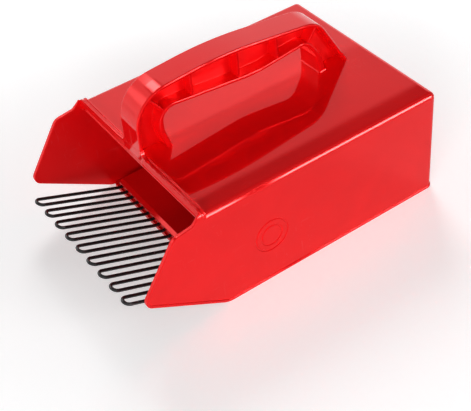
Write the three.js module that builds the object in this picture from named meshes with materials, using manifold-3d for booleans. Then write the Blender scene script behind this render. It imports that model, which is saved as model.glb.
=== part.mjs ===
// Hand rake for picking berries: a plastic scoop box with a carrying handle and a comb of wire hairpins.
// Millimetres, +Z up, tines towards -Y. The pieces are drawn from the mouth plane (y = 0, +Y to the back)
// and the resting plane (z = 0), and the whole group is then moved to stand over its own middle.
import * as THREE from "three";
import Module from "manifold-3d";
import { mergeVertices } from "three/addons/utils/BufferGeometryUtils.js";
import { RoundedBoxGeometry } from "three/addons/geometries/RoundedBoxGeometry.js";

// Box of the scoop.
const bodyWidth = 140; // outside
const bodyLength = 173.4; // mouth plane to the back wall's outer face
const roofHeight = 76;
const wall = 2.2;
const edgeRound = 4; // outer radius of the long roof edges and the back corners

// Cheeks: the side walls' forward ends, seen from the side.
const neckReach = 5.7; // forward of the mouth plane, where a cheek's upper edge turns
const neckDrop = 6.4; // below the rim's top
const neckRound = 3;
const browReach = 19;
const browDrop = 8.3;
const browRound = 7;
const chinReach = 44.6;
const chinHeight = 32.8;
const chinRound = 6;
const heelSetback = 10.6; // where the level bottom edge starts, behind the mouth plane
const heelRound = 14;

// Bead along the free edges of the side and back walls.
const beadWidth = 2;
const beadStand = 0.6;

// Rim across the top of the mouth.
const rimRaise = 3; // above the roof
const rimDepth = 4;
const rimCrest = 1.1; // width of the front crest
const rimGrooveWidth = 1.2;
const rimGrooveDepth = 0.6;
const rimSlope = 0.8; // run of the rim's back slope
const lipDrop = 3; // how far the rim hangs below the roof's underside

// Handle: an I-section bar on two legs, in one with the roof. Drops are measured from its crown.
const handleWidth = 19.4;
const handleOffset = -2.7; // of its middle plane from the box's, along X
const webThickness = 2;
const flangeThickness = 2.2;
const frontLegFlangeThickness = 3.4; // of the inner flange
const backLegFlangeThickness = 2.6;
const backFootFlangeThickness = 5.4;
const handleRise = 46.5; // of the crown above the roof
const crownShare = 0.47; // of the back shoulder's setback
const crownRoundShare = 1.8; // of the back shoulder's setback
const frontShoulderSetback = 0.7;
const frontShoulderDrop = 4.5;
const frontShoulderRound = 23.8;
const backShoulderDrop = 8.5;
const backShoulderRound = 18.8;
const backFootMargin = 17.4; // from the back wall to the back leg's outer face at the roof
const backLegLean = 23; // how far the back leg leans back from its shoulder
const frontLegDepth = 18.4;
const frontFootFlare = 4; // what the front leg gains in depth at the roof
const frontFootFlareHeight = 13;
const frontFootRound = 20;
const backFootDepth = 24;
const backFootFlareLead = 0.9; // the flare's top ahead of the foot's inner face
const backFootFlareHeight = 12.5;
const backFootRound = 15;
const gripFrontDrop = 18.7; // underside of the grip at its front corner
const gripBellyDrop = 25.3;
const gripBellyShare = 0.632; // of the back shoulder's setback
const gripBellyRound = 80;
const gripBackDrop = 20.9;
const gripBackLead = 9.8; // ahead of the back shoulder
const gripCornerRound = 8;
const footFillet = 4; // between the front leg's sides and the rim
const ribThickness = 1.6;
const ribInset = 0.8; // from the flanges' side edges
const uprightRibShares = [0.301, 0.547, 0.761]; // of the back shoulder's setback
const frontRibLead = 2.5; // ahead of the front leg's inner face
const frontRibDrop = 15.1;
const backRibLead = 5.6; // ahead of the back shoulder
const backRibDrop = 17.5;
const frontRibTilt = THREE.MathUtils.degToRad(37);
const backRibTilt = THREE.MathUtils.degToRad(-38);

// Round medallion on each side wall: two shallow ring grooves round a blank field.
const medallionSetback = 45.3;
const medallionHeight = 34.8;
const medallionRadius = 12;
const medallionInnerRadius = 7.8;
const medallionGrooveWidth = 1.1;
const medallionGrooveDepth = 0.45;

// Floor plate with the comb's seat.
const floorThickness = 3;
const fitGap = 0.3; // between parts that are slipped together
const floorCornerRound = 3;
const seatRaise = 1.9; // height of the comb's seat above the floor plate
const clampDepth = 25; // front to back
const clampHeight = 3.7;
const clampChamferRun = 2.5;
const clampChamferDrop = 2;
const combEndGap = 6.8; // from the ends of the comb's seat to the side walls

// Wire hairpins.
const tineCount = 9;
const wireDiameter = 2.2;
const tipReach = 48.9; // of the wire's centre line, forward of the mouth plane
const tipHeight = 28.4;
const kneeLead = 0.5; // the wire starts to rise this far ahead of the heel
const kneeRound = 8;
const hookRound = 2.2;
const hookMargin = 3; // from the hooks to the back of the seat
const wireEndGap = 0.8; // from the hooked ends up to the resting plane
const grooveGap = 0.15; // between the wire and its groove

// Countersunk screws.
const screwHeadRadius = 2.6;
const screwHeadHeight = 1.5;
const screwShankRadius = 1.3;
const screwSinking = 0.25; // of the head's face below the floor plate's underside
const screwPointLength = 1.6;
const screwGap = 0.12;
const floorScrewLength = 14;
const clampScrewLength = 7.4;
const crossLength = 3;
const crossWidth = 0.8;
const crossDepth = 0.9;
const clampScrewShares = [-3.5, -1.5, 1.5, 3.5]; // of the tine pitch

// Bosses inside the shell for the floor screws.
const bossHeight = 17;
const screwEdgeMargin = 1.2; // floor plate left between a screw's head and the side wall
const bossFrontGap = 12; // from the seat's back to the first boss's axis
const bossBackGap = 12; // from the back wall's inner face to the last boss's axis
const bossPlaceShares = [0, 0.5, 1]; // between the first and the last boss

// Fineness of the curves.
const arcStep = THREE.MathUtils.degToRad(16);
const wireSides = 8;
const tipSteps = 8;
const screwSides = 12;
const bossSides = 16;
const ringSides = 32;
const cornerSegments = 2;
const cutOverrun = 5;

const wasm = await Module();
wasm.setup();

// Places that follow from the sizes above.
const halfWidth = bodyWidth / 2;
const innerHalfWidth = halfWidth - wall;
const rimTop = roofHeight + rimRaise;
const neckHeight = rimTop - neckDrop;
const browHeight = rimTop - browDrop;
const handleTop = roofHeight + handleRise;
const backFootSetback = bodyLength - backFootMargin;
const backShoulderSetback = backFootSetback - backLegLean;
const backFootInnerSetback = backFootSetback - backFootDepth;
const wireRadius = wireDiameter / 2;
const seatHeight = floorThickness + seatRaise;
const kneeSetback = heelSetback - kneeLead;
const tineRise = Math.atan2(tipHeight - seatHeight, tipReach + kneeSetback);
const seatFront = kneeSetback + kneeRound * Math.tan(tineRise / 2) + fitGap;
const seatBack = seatFront + clampDepth;
const hookSetback = seatBack - hookMargin;
const seatHalfWidth = innerHalfWidth - combEndGap;
const tinePitch = (2 * seatHalfWidth) / tineCount;
const legSpacing = tinePitch / 2;
const bossWallGap = fitGap + screwEdgeMargin + screwHeadRadius; // from its axis to the side wall
const bossRadius = bossWallGap + wall / 2;
const firstBossSetback = seatBack + bossFrontGap;
const lastBossSetback = bodyLength - wall - bossBackGap;

const redPlastic = new THREE.MeshStandardMaterial({ color: 0xd81e1c, roughness: 0.22, metalness: 0 });
const coatedWire = new THREE.MeshStandardMaterial({ color: 0x161616, roughness: 0.4, metalness: 0 });
const screwSteel = new THREE.MeshStandardMaterial({ color: 0xa4a6a8, roughness: 0.35, metalness: 1 });

function solidOf(geometry) {
  const bare = geometry.clone();
  bare.deleteAttribute("normal");
  bare.deleteAttribute("uv");
  const merged = mergeVertices(bare);
  return new wasm.Manifold(
    new wasm.Mesh({
      numProp: 3,
      vertProperties: merged.attributes.position.array,
      triVerts: new Uint32Array(merged.index.array),
    }),
  );
}

function geometryOf(solid) {
  const mesh = solid.getMesh();
  const geometry = new THREE.BufferGeometry();
  geometry.setAttribute("position", new THREE.BufferAttribute(mesh.vertProperties, mesh.numProp));
  geometry.setIndex(new THREE.BufferAttribute(mesh.triVerts, 1));
  geometry.computeVertexNormals();
  return geometry;
}

function joined(solids) {
  return solids.reduce((sum, solid) => sum.add(solid));
}

function without(solid, cuts) {
  return cuts.reduce((rest, cut) => rest.subtract(cut), solid);
}

// Box between two corners.
function block(low, high) {
  const size = high.clone().sub(low);
  const middle = low.clone().add(high).multiplyScalar(0.5);
  return solidOf(new THREE.BoxGeometry(size.x, size.y, size.z).translate(middle.x, middle.y, middle.z));
}

// A corner of an outline: its place before rounding and the radius that rounds it.
function corner(across, up, round = 0) {
  return { at: new THREE.Vector2(across, up), round };
}

// Points along a line through corners, with each rounded corner as an arc.
function roundedPoints(corners, closed) {
  return corners.flatMap((here, index) => {
    const isEnd = !closed && (index === 0 || index === corners.length - 1);
    if (isEnd || here.round === 0) return [here.at.clone()];
    const toBefore = corners.at(index - 1).at.clone().sub(here.at).normalize();
    const toAfter = corners[(index + 1) % corners.length].at.clone().sub(here.at).normalize();
    const halfAngle = Math.acos(toBefore.dot(toAfter)) / 2;
    const start = here.at.clone().addScaledVector(toBefore, here.round / Math.tan(halfAngle));
    const towardsMiddle = toBefore.clone().add(toAfter).normalize();
    const middle = here.at.clone().addScaledVector(towardsMiddle, here.round / Math.sin(halfAngle));
    const turn = (Math.PI - 2 * halfAngle) * -Math.sign(toBefore.cross(toAfter));
    const steps = Math.max(2, Math.ceil(Math.abs(turn) / arcStep));
    return Array.from({ length: steps + 1 }, (_, step) =>
      start.clone().rotateAround(middle, (turn * step) / steps),
    );
  });
}

// The same open line moved sideways, each stretch by its own distance (positive to the left).
function movedAside(corners, distances) {
  const stretches = distances.map((distance, index) => {
    const from = corners[index].at;
    const along = corners[index + 1].at.clone().sub(from).normalize();
    const left = new THREE.Vector2(-along.y, along.x);
    return { point: from.clone().addScaledVector(left, distance), along, left };
  });
  return corners.map((here, index) => {
    const before = stretches[index - 1];
    const after = stretches[index];
    if (!before) return { at: after.point.clone(), round: 0 };
    if (!after) {
      return { at: here.at.clone().addScaledVector(before.left, distances[index - 1]), round: 0 };
    }
    const turn = before.along.cross(after.along);
    const gap = after.point.clone().sub(before.point);
    const run = gap.cross(after.along) / turn;
    const round = here.round - Math.sign(turn) * distances[index];
    return { at: before.point.clone().addScaledVector(before.along, run), round };
  });
}

// Solid with an outline given as (y, z) points, from one x to another.
function acrossSolid(points, fromX, toX) {
  const geometry = new THREE.ExtrudeGeometry(new THREE.Shape(points), {
    depth: toX - fromX,
    bevelEnabled: false,
  });
  const turned = new THREE.Matrix4().makeBasis(
    new THREE.Vector3(0, 1, 0),
    new THREE.Vector3(0, 0, 1),
    new THREE.Vector3(1, 0, 0),
  );
  return solidOf(geometry.applyMatrix4(turned).translate(fromX, 0, 0));
}

// Solid with an outline given as (x, z) points, from one y to another.
function alongSolid(points, fromY, toY) {
  const geometry = new THREE.ExtrudeGeometry(new THREE.Shape(points), {
    depth: toY - fromY,
    bevelEnabled: false,
  });
  return solidOf(geometry.rotateX(Math.PI / 2).translate(0, toY, 0));
}

// Upright solid with an outline given as (x, y) points.
function uprightSolid(points, fromZ, toZ) {
  const geometry = new THREE.ExtrudeGeometry(new THREE.Shape(points), {
    depth: toZ - fromZ,
    bevelEnabled: false,
  });
  return solidOf(geometry.translate(0, 0, fromZ));
}

// The box's block with rounded edges, moved inwards by an inset.
// It runs past the chins and below the resting plane, where other cuts end it.
function roundedBlock(inset, top, round) {
  const front = -chinReach - cutOverrun - round;
  const back = bodyLength - inset;
  const bottom = -cutOverrun - round;
  const width = bodyWidth - 2 * inset;
  const geometry = new RoundedBoxGeometry(width, back - front, top - bottom, cornerSegments, round);
  return solidOf(geometry.translate(0, (front + back) / 2, (bottom + top) / 2));
}

// Side view of the box: the cheeks' free edges and the bottom edge, moved inwards by an inset.
function sideOutline(inset) {
  const past = bodyLength + cutOverrun;
  const edge = [
    corner(past, 0),
    corner(heelSetback, 0, heelRound),
    corner(-chinReach, chinHeight, chinRound),
    corner(-browReach, browHeight, browRound),
    corner(-neckReach, neckHeight, neckRound),
    corner(0, rimTop),
  ];
  const moved = inset ? movedAside(edge, edge.slice(1).map(() => -inset)) : edge;
  const top = rimTop + cutOverrun;
  return [
    ...roundedPoints(moved, false),
    new THREE.Vector2(0, top),
    new THREE.Vector2(past, top),
  ];
}

function sidePrism(inset) {
  const reach = halfWidth + beadStand + cutOverrun;
  return acrossSolid(sideOutline(inset).reverse(), -reach, reach);
}

// Rim across the mouth, with a shallow groove between its two crests and a lip inside.
function rim() {
  const grooveStart = rimCrest;
  const grooveEnd = rimCrest + rimGrooveWidth;
  const low = roofHeight - edgeRound - rimDepth;
  const profile = [
    corner(0, low),
    corner(rimDepth, low),
    corner(rimDepth, roofHeight),
    corner(rimDepth - rimSlope, rimTop),
    corner(grooveEnd, rimTop),
    corner(grooveEnd, rimTop - rimGrooveDepth),
    corner(grooveStart, rimTop - rimGrooveDepth),
    corner(grooveStart, rimTop),
    corner(0, rimTop),
  ];
  const reach = halfWidth + cutOverrun;
  const slab = acrossSolid(roundedPoints(profile, true), -reach, reach);
  const opening = roundedBlock(wall, roofHeight - wall - lipDrop, edgeRound - wall);
  return roundedBlock(0, rimTop, edgeRound + rimRaise / 2)
    .intersect(slab)
    .subtract(opening);
}

function handleOuterLine() {
  return [
    corner(0, roofHeight - wall),
    corner(frontShoulderSetback, handleTop - frontShoulderDrop, frontShoulderRound),
    corner(crownShare * backShoulderSetback, handleTop, crownRoundShare * backShoulderSetback),
    corner(backShoulderSetback, handleTop - backShoulderDrop, backShoulderRound),
    corner(backFootSetback, roofHeight - wall),
  ];
}

function handleInnerLine() {
  return [
    corner(frontLegDepth + frontFootFlare, roofHeight - wall),
    corner(frontLegDepth, roofHeight + frontFootFlareHeight, frontFootRound),
    corner(frontLegDepth, handleTop - gripFrontDrop, gripCornerRound),
    corner(gripBellyShare * backShoulderSetback, handleTop - gripBellyDrop, gripBellyRound),
    corner(backShoulderSetback - gripBackLead, handleTop - gripBackDrop, gripCornerRound),
    corner(backFootInnerSetback - backFootFlareLead, roofHeight + backFootFlareHeight, backFootRound),
    corner(backFootInnerSetback, roofHeight - wall),
  ];
}

// Outline between two lines that run side by side.
function bandOutline(line, otherLine) {
  return [...roundedPoints(otherLine, false), ...roundedPoints(line, false).reverse()];
}

// Rib across the handle's channels, standing or leaning at its place.
function handleRib(setback, height, tilt, region) {
  const half = handleWidth / 2 - ribInset;
  const plate = new THREE.BoxGeometry(2 * half, ribThickness, 2 * gripBellyDrop);
  return solidOf(plate.rotateX(tilt).translate(0, setback, height)).intersect(region);
}

// Fillets in the corners between the front leg's sides and the rim.
function footFillets() {
  const half = handleWidth / 2;
  return [-1, 1].map((side) => {
    const middle = new THREE.Vector2(side * (half + footFillet), rimTop + footFillet);
    const steps = Math.ceil(Math.PI / 2 / arcStep);
    const arc = Array.from({ length: steps + 1 }, (_, step) =>
      new THREE.Vector2(middle.x, rimTop).rotateAround(middle, (-side * Math.PI * step) / 2 / steps),
    );
    const heel = new THREE.Vector2(side * (half - webThickness), rimTop - rimGrooveDepth);
    const outline = [
      new THREE.Vector2(middle.x, heel.y),
      ...arc,
      new THREE.Vector2(heel.x, middle.y),
      heel,
    ];
    return alongSolid(side > 0 ? outline : outline.reverse(), 0, flangeThickness);
  });
}

function handle() {
  const half = handleWidth / 2;
  const outerLine = handleOuterLine();
  const innerLine = handleInnerLine();
  const outerFlangeLine = movedAside(outerLine, outerLine.slice(1).map(() => -flangeThickness));
  const innerFlangeLine = movedAside(innerLine, [
    frontLegFlangeThickness,
    frontLegFlangeThickness,
    flangeThickness,
    flangeThickness,
    backLegFlangeThickness,
    backFootFlangeThickness,
  ]);
  const region = acrossSolid(bandOutline(outerLine, innerLine), -half, half);
  const outerFlange = acrossSolid(bandOutline(outerLine, outerFlangeLine), -half, half);
  const innerFlange = acrossSolid(bandOutline(innerFlangeLine, innerLine), -half, half);
  const web = acrossSolid(bandOutline(outerLine, innerLine), -webThickness / 2, webThickness / 2);
  const gripMiddle = handleTop - gripBellyDrop / 2;
  const ribs = uprightRibShares.map((share) =>
    handleRib(share * backShoulderSetback, gripMiddle, 0, region),
  );
  const frontRibSetback = frontLegDepth - frontRibLead;
  const backRibSetback = backShoulderSetback - backRibLead;
  ribs.push(handleRib(frontRibSetback, handleTop - frontRibDrop, frontRibTilt, region));
  ribs.push(handleRib(backRibSetback, handleTop - backRibDrop, backRibTilt, region));
  return joined([outerFlange, innerFlange, web, ...ribs, ...footFillets()]).translate([handleOffset, 0, 0]);
}

// Centres of the floor screws, on the resting plane.
function floorScrewPlaces() {
  return [-1, 1].flatMap((side) =>
    bossPlaceShares.map((share) => {
      const setback = THREE.MathUtils.lerp(firstBossSetback, lastBossSetback, share);
      return new THREE.Vector3(side * (innerHalfWidth - bossWallGap), setback, 0);
    }),
  );
}

function clampScrewPlaces() {
  return clampScrewShares.map(
    (share) => new THREE.Vector3(share * tinePitch, (seatFront + hookSetback - hookRound) / 2, 0),
  );
}

// Solid turned about an upright axis, from (radius, height) points that start and end on the axis.
function turned(points, sides, place) {
  const geometry = new THREE.LatheGeometry(points, sides).rotateX(Math.PI / 2);
  return solidOf(geometry.translate(place.x, place.y, place.z));
}

function upright(radius, fromZ, toZ, sides, place) {
  const points = [
    new THREE.Vector2(0, fromZ),
    new THREE.Vector2(radius, fromZ),
    new THREE.Vector2(radius, toZ),
    new THREE.Vector2(0, toZ),
  ];
  return turned(points, sides, place);
}

function screwProfile(length, gap, bottom, point) {
  const headBottom = screwSinking;
  const neck = headBottom + screwHeadHeight;
  return [
    new THREE.Vector2(0, bottom),
    new THREE.Vector2(screwHeadRadius + gap, bottom),
    new THREE.Vector2(screwHeadRadius + gap, headBottom + gap),
    new THREE.Vector2(screwShankRadius + gap, neck + gap),
    new THREE.Vector2(screwShankRadius + gap, headBottom + length - point),
    new THREE.Vector2(0, headBottom + length + gap),
  ];
}

function screw(length, place) {
  const profile = screwProfile(length, 0, screwSinking, screwPointLength);
  profile.splice(2, 1);
  const cross = [
    [crossLength / 2, crossWidth / 2],
    [crossWidth / 2, crossLength / 2],
  ].map(([halfX, halfY]) =>
    block(
      new THREE.Vector3(place.x - halfX, place.y - halfY, place.z - cutOverrun),
      new THREE.Vector3(place.x + halfX, place.y + halfY, place.z + screwSinking + crossDepth),
    ),
  );
  return without(turned(profile, screwSides, place), cross);
}

// The room that a screw takes in the pieces that it holds together.
function screwRoom(length, place) {
  return turned(screwProfile(length, screwGap, -cutOverrun, screwPointLength), screwSides, place);
}

function bosses() {
  return floorScrewPlaces().map((place) =>
    upright(bossRadius, floorThickness, floorThickness + bossHeight, bossSides, place),
  );
}

// Ring groove in a side wall's outer face, as a solid to cut away.
function ringGroove(side, radius) {
  const outline = new THREE.Shape().absarc(medallionSetback, medallionHeight, radius, 0, 2 * Math.PI);
  const hole = new THREE.Path().absarc(
    medallionSetback,
    medallionHeight,
    radius - medallionGrooveWidth,
    0,
    2 * Math.PI,
    true,
  );
  outline.holes.push(hole);
  const floorX = halfWidth - medallionGrooveDepth;
  const geometry = new THREE.ExtrudeGeometry(outline, {
    depth: cutOverrun,
    bevelEnabled: false,
    curveSegments: ringSides,
  });
  const turnedToSide = new THREE.Matrix4().makeBasis(
    new THREE.Vector3(0, 1, 0),
    new THREE.Vector3(0, 0, 1),
    new THREE.Vector3(1, 0, 0),
  );
  geometry.applyMatrix4(turnedToSide);
  geometry.translate(side > 0 ? floorX : -floorX - cutOverrun, 0, 0);
  return solidOf(geometry);
}

function bodyShell() {
  const past = new THREE.Vector3(bodyWidth, bodyLength + cutOverrun, rimTop + cutOverrun);
  const frontHalf = block(
    new THREE.Vector3(-past.x, -chinReach - cutOverrun, -cutOverrun),
    new THREE.Vector3(past.x, rimCrest / 2, past.z),
  );
  const cheekBlock = roundedBlock(0, rimTop, edgeRound + rimRaise / 2).intersect(frontHalf);
  const edgeBeads = roundedBlock(-beadStand, roofHeight, edgeRound + beadStand)
    .intersect(sidePrism(0))
    .subtract(sidePrism(beadWidth));
  const outside = roundedBlock(0, roofHeight, edgeRound).add(cheekBlock).intersect(sidePrism(0));
  const cavity = roundedBlock(wall, roofHeight - wall, edgeRound - wall);
  const openFront = block(
    new THREE.Vector3(-past.x, -chinReach - cutOverrun, -cutOverrun),
    new THREE.Vector3(past.x, 0, past.z),
  );
  const mouthCut = roundedBlock(wall, past.z, edgeRound - wall).intersect(openFront);
  const hollow = without(joined([outside, edgeBeads, handle()]), [cavity, mouthCut]);
  const fitted = joined([hollow, rim(), ...bosses()]);
  const screwHoles = floorScrewPlaces().map((place) => screwRoom(floorScrewLength, place));
  const grooves = [-1, 1].flatMap((side) =>
    [medallionRadius, medallionInnerRadius].map((radius) => ringGroove(side, radius)),
  );
  return without(fitted, [...screwHoles, ...grooves]);
}

function tineMiddles() {
  return Array.from({ length: tineCount }, (_, index) => (index - (tineCount - 1) / 2) * tinePitch);
}

// Channels for the hairpins' legs and slots for their hooked ends.
function wireChannels() {
  const half = wireRadius + grooveGap;
  return tineMiddles().flatMap((middle) =>
    [-1, 1].flatMap((side) => {
      const x = middle + (side * legSpacing) / 2;
      const leg = block(
        new THREE.Vector3(x - half, seatFront - cutOverrun, seatHeight - half),
        new THREE.Vector3(x + half, hookSetback, seatHeight + half),
      );
      const hook = block(
        new THREE.Vector3(x - half, hookSetback - hookRound - half, -cutOverrun),
        new THREE.Vector3(x + half, hookSetback + half, seatHeight + half),
      );
      return [leg, hook];
    }),
  );
}

function floorPlate() {
  const back = bodyLength - wall - fitGap;
  const side = innerHalfWidth - fitGap;
  const outline = [
    corner(-side, heelSetback, floorCornerRound),
    corner(side, heelSetback, floorCornerRound),
    corner(side, back, floorCornerRound),
    corner(-side, back, floorCornerRound),
  ];
  const plate = uprightSolid(roundedPoints(outline, true), 0, floorThickness);
  const seat = block(
    new THREE.Vector3(-seatHalfWidth, seatFront, floorThickness - wireRadius),
    new THREE.Vector3(seatHalfWidth, seatBack, seatHeight),
  );
  const screwHoles = [
    ...floorScrewPlaces().map((place) => screwRoom(floorScrewLength, place)),
    ...clampScrewPlaces().map((place) => screwRoom(clampScrewLength, place)),
  ];
  return without(plate.add(seat), [...wireChannels(), ...screwHoles]);
}

function clampBar() {
  const top = seatHeight + clampHeight;
  const profile = [
    new THREE.Vector2(seatFront, seatHeight),
    new THREE.Vector2(seatBack, seatHeight),
    new THREE.Vector2(seatBack, top - clampChamferDrop),
    new THREE.Vector2(seatBack - clampChamferRun, top),
    new THREE.Vector2(seatFront + clampChamferRun, top),
    new THREE.Vector2(seatFront, top - clampChamferDrop),
  ];
  const bar = acrossSolid(profile, -seatHalfWidth, seatHalfWidth);
  const screwHoles = clampScrewPlaces().map((place) => screwRoom(clampScrewLength, place));
  return without(bar, [...wireChannels(), ...screwHoles]);
}

// A bent wire's centre line, sampled at its own stations and nowhere else.
class WireLine extends THREE.Curve {
  constructor(stations) {
    super();
    this.stations = stations;
  }

  getPoint(share) {
    const place = THREE.MathUtils.clamp(share, 0, 1) * (this.stations.length - 1);
    const index = Math.min(Math.floor(place), this.stations.length - 2);
    return this.stations[index].clone().lerp(this.stations[index + 1], place - index);
  }

  getUtoTmapping(share) {
    return share;
  }
}

// Hairpin: two legs with hooked ends in the seat, a rise ahead of the floor and a round tip.
function hairpin(middle) {
  const side = roundedPoints(
    [
      corner(hookSetback, wireEndGap),
      corner(hookSetback, seatHeight, hookRound),
      corner(kneeSetback, seatHeight, kneeRound),
      corner(-tipReach, tipHeight),
    ],
    false,
  );
  side.pop();
  const half = legSpacing / 2;
  const rise = new THREE.Vector2(-Math.cos(tineRise), Math.sin(tineRise));
  const tipMiddle = new THREE.Vector2(-tipReach, tipHeight).addScaledVector(rise, -half);
  const tip = Array.from({ length: tipSteps + 1 }, (_, step) => {
    const angle = (Math.PI * step) / tipSteps;
    const place = tipMiddle.clone().addScaledVector(rise, half * Math.sin(angle));
    return new THREE.Vector3(middle - half * Math.cos(angle), place.x, place.y);
  });
  const leg = (x) => side.map((point) => new THREE.Vector3(x, point.x, point.y));
  const stations = [...leg(middle - half), ...tip, ...leg(middle + half).reverse()];
  const section = new THREE.Shape(
    Array.from({ length: wireSides }, (_, index) =>
      new THREE.Vector2(wireRadius, 0).rotateAround(new THREE.Vector2(), (2 * Math.PI * index) / wireSides),
    ),
  );
  return solidOf(
    new THREE.ExtrudeGeometry(section, {
      steps: stations.length - 1,
      extrudePath: new WireLine(stations),
    }),
  );
}

const picker = new THREE.Group();

function addPiece(name, solid, material) {
  const mesh = new THREE.Mesh(geometryOf(solid), material);
  mesh.name = name;
  picker.add(mesh);
}

addPiece("body_shell", bodyShell(), redPlastic);
addPiece("floor_plate", floorPlate(), redPlastic);
addPiece("comb_clamp_bar", clampBar(), redPlastic);
tineMiddles().forEach((middle, index) => addPiece(`tine_${index + 1}`, hairpin(middle), coatedWire));
clampScrewPlaces().forEach((place, index) =>
  addPiece(`clamp_screw_${index + 1}`, screw(clampScrewLength, place), screwSteel),
);
floorScrewPlaces().forEach((place, index) =>
  addPiece(`floor_screw_${index + 1}`, screw(floorScrewLength, place), screwSteel),
);

// Stand the picker over its own middle.
const extent = new THREE.Box3().setFromObject(picker);
picker.position.y = -(extent.min.y + extent.max.y) / 2;

export default picker;
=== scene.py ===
"""Berry picking rake: a red moulded scoop box with a ribbed handle and a comb of coated wire hairpins.

Lengths are metres. Pieces are drawn in the maker's frame, whose y = 0 is the plane of the mouth and whose
z = 0 is the resting plane; settled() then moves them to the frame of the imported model, which stands over its
own middle. Outlines in side view run from the mouth backwards, so y grows with the distance behind it.
"""

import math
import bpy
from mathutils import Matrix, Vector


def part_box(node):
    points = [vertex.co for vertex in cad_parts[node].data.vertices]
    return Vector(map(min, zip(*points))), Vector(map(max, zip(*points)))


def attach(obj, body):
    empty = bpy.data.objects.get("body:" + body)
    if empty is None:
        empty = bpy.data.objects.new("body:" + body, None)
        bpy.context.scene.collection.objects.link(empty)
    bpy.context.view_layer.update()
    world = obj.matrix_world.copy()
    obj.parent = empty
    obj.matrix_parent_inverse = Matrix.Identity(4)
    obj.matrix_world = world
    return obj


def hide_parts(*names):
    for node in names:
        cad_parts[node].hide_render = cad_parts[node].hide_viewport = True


bl_info = {
    "name": "Berry Picking Rake",
    "version": (1, 0, 0),
    "blender": (4, 5, 0),
    "location": "3D View > Sidebar > Berry Rake",
    "description": "Moulded scoop box with a ribbed handle, a comb of wire hairpins and their studio",
    "category": "Object",
}

import bmesh
import bpy
from bpy.props import FloatProperty, FloatVectorProperty, IntProperty, PointerProperty
from mathutils import Matrix, Vector

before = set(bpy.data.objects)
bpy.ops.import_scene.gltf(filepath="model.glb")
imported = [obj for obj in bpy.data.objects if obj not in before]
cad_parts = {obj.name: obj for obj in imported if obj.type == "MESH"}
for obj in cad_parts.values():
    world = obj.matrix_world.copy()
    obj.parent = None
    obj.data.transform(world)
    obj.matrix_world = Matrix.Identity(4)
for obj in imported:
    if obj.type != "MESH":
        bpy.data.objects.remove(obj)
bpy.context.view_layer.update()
MILLIMETRE = 0.001

# Fineness: a rounded corner is drawn in chords of at most one of these turns, and of this length.
FINE_ARC = math.radians(6)
RIM_ARC = math.radians(24)
BEAD_ARC = math.radians(22)
OUTER_FLANGE_ARC = math.radians(4)
INNER_FLANGE_ARC = math.radians(5)
FLANGE_EDGE_ARC = math.radians(15)
RIB_ARC = math.radians(18)
CLAMP_ARC = math.radians(12)
WIRE_ARC = math.radians(9)
LONGEST_CHORD = 0.005
FEWEST_CHORDS = 3
CORNER_CHORDS = 12
WEB_FILLET_CHORDS = 6
TIP_CHORDS = 18
EDGE_SEGMENTS = 8
RING_SIDES = 72
BOSS_SIDES = 48
SCREW_SIDES = 40
CHANNEL_SIDES = 24
WIRE_SIDES = 16

# Joining: cutters run past what they cut, faces that would fall together stand a hidden step apart, and FAR
# is further than any piece reaches.
OVERRUN = 0.006
FAR = 1
HIDDEN_STEP = 0.00004

# Cleaning and shading of the finished meshes.
SAME_PLACE = 2e-6
FLAT_TURN = math.radians(0.1)
SHARP_TURN = math.radians(32)
WIRE_SHARP_TURN = math.radians(50)
LARGE_FACE_WEIGHT = 80

# Edge bead: it stops short of the rim's top and grows between two distances below it. The walls end inside
# it, and the cheeks end just behind the mouth plane, inside the rim.
BEAD_STOP = 0.0014
BEAD_FADE_START = 0.002
BEAD_FADE_END = 0.009
BEAD_SINK = 0.00008
BEAD_THINNEST = 0.0012
BEAD_NARROWEST_SHARE = 0.35
BEAD_ROUND = 0.00052
BEAD_COVER = 0.0005
CHEEK_END = 0.00055

# Mouth rim: corners of its section as (behind the mouth, below the top, radius) in millimetres.
RIM_FRONT = (
    (0, 0, 0.45),
    (0, 1.5, 0.1),
    (0.12, 1.65, 0.1),
    (0.12, 3.7, 0.3),
    (0.75, 4.3, 0.25),
    (0.75, 6.5, 0.3),
    (0, 6.9, 0.3),
)
RIM_CRESTS = (
    (3.45, 0, 0.3),
    (2.75, 0, 0.25),
    (2.4, 0.6, 0.3),
    (1.35, 0.6, 0.3),
    (1.05, 0, 0.3),
)
RIM_LIP_ROUND = 0.0006
RIM_BACK_SINK = 0.0001
RIM_END_DROP = 0.003
RIM_SATIN_DEPTH = 0.0009
RIM_SATIN_DROP = 0.0007
RIM_SATIN_CLEAR = 0.0008

# Medallion grooves: flared shoulders, drafted sides, and a cutter that ends clear of the wall.
RING_FLARE = 0.00018
RING_BRIM = 0.00002
RING_DRAFT = 0.0001
RING_CLEAR = 0.002

# Handle: where its roots end in the roof, how the inner flange swells, and its small edges.
ROOT_COVER = 0.0004
LEG_FULL_DROP = 0.033
LEG_FADE_DROP = 0.021
FOOT_FADE_MARGIN = 0.002
INNER_EDGE_SHARE = 0.7
PARTING_HALF_WIDTH = 0.0002
PARTING_STAND = 0.00004
PARTING_SINK = 0.00002
RIB_ROUND = 0.0004
FILLET_ROOT = 0.002
FILLET_SINK = 0.0006
FILLET_STEP = 0.00005
FILLET_TRIM = 0.0003
PLATE_STAND = 0.00001
PLATE_DEPTH = 0.0015
PLATE_RISE = 0.002
PLATE_CLEAR = 0.0001

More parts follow.
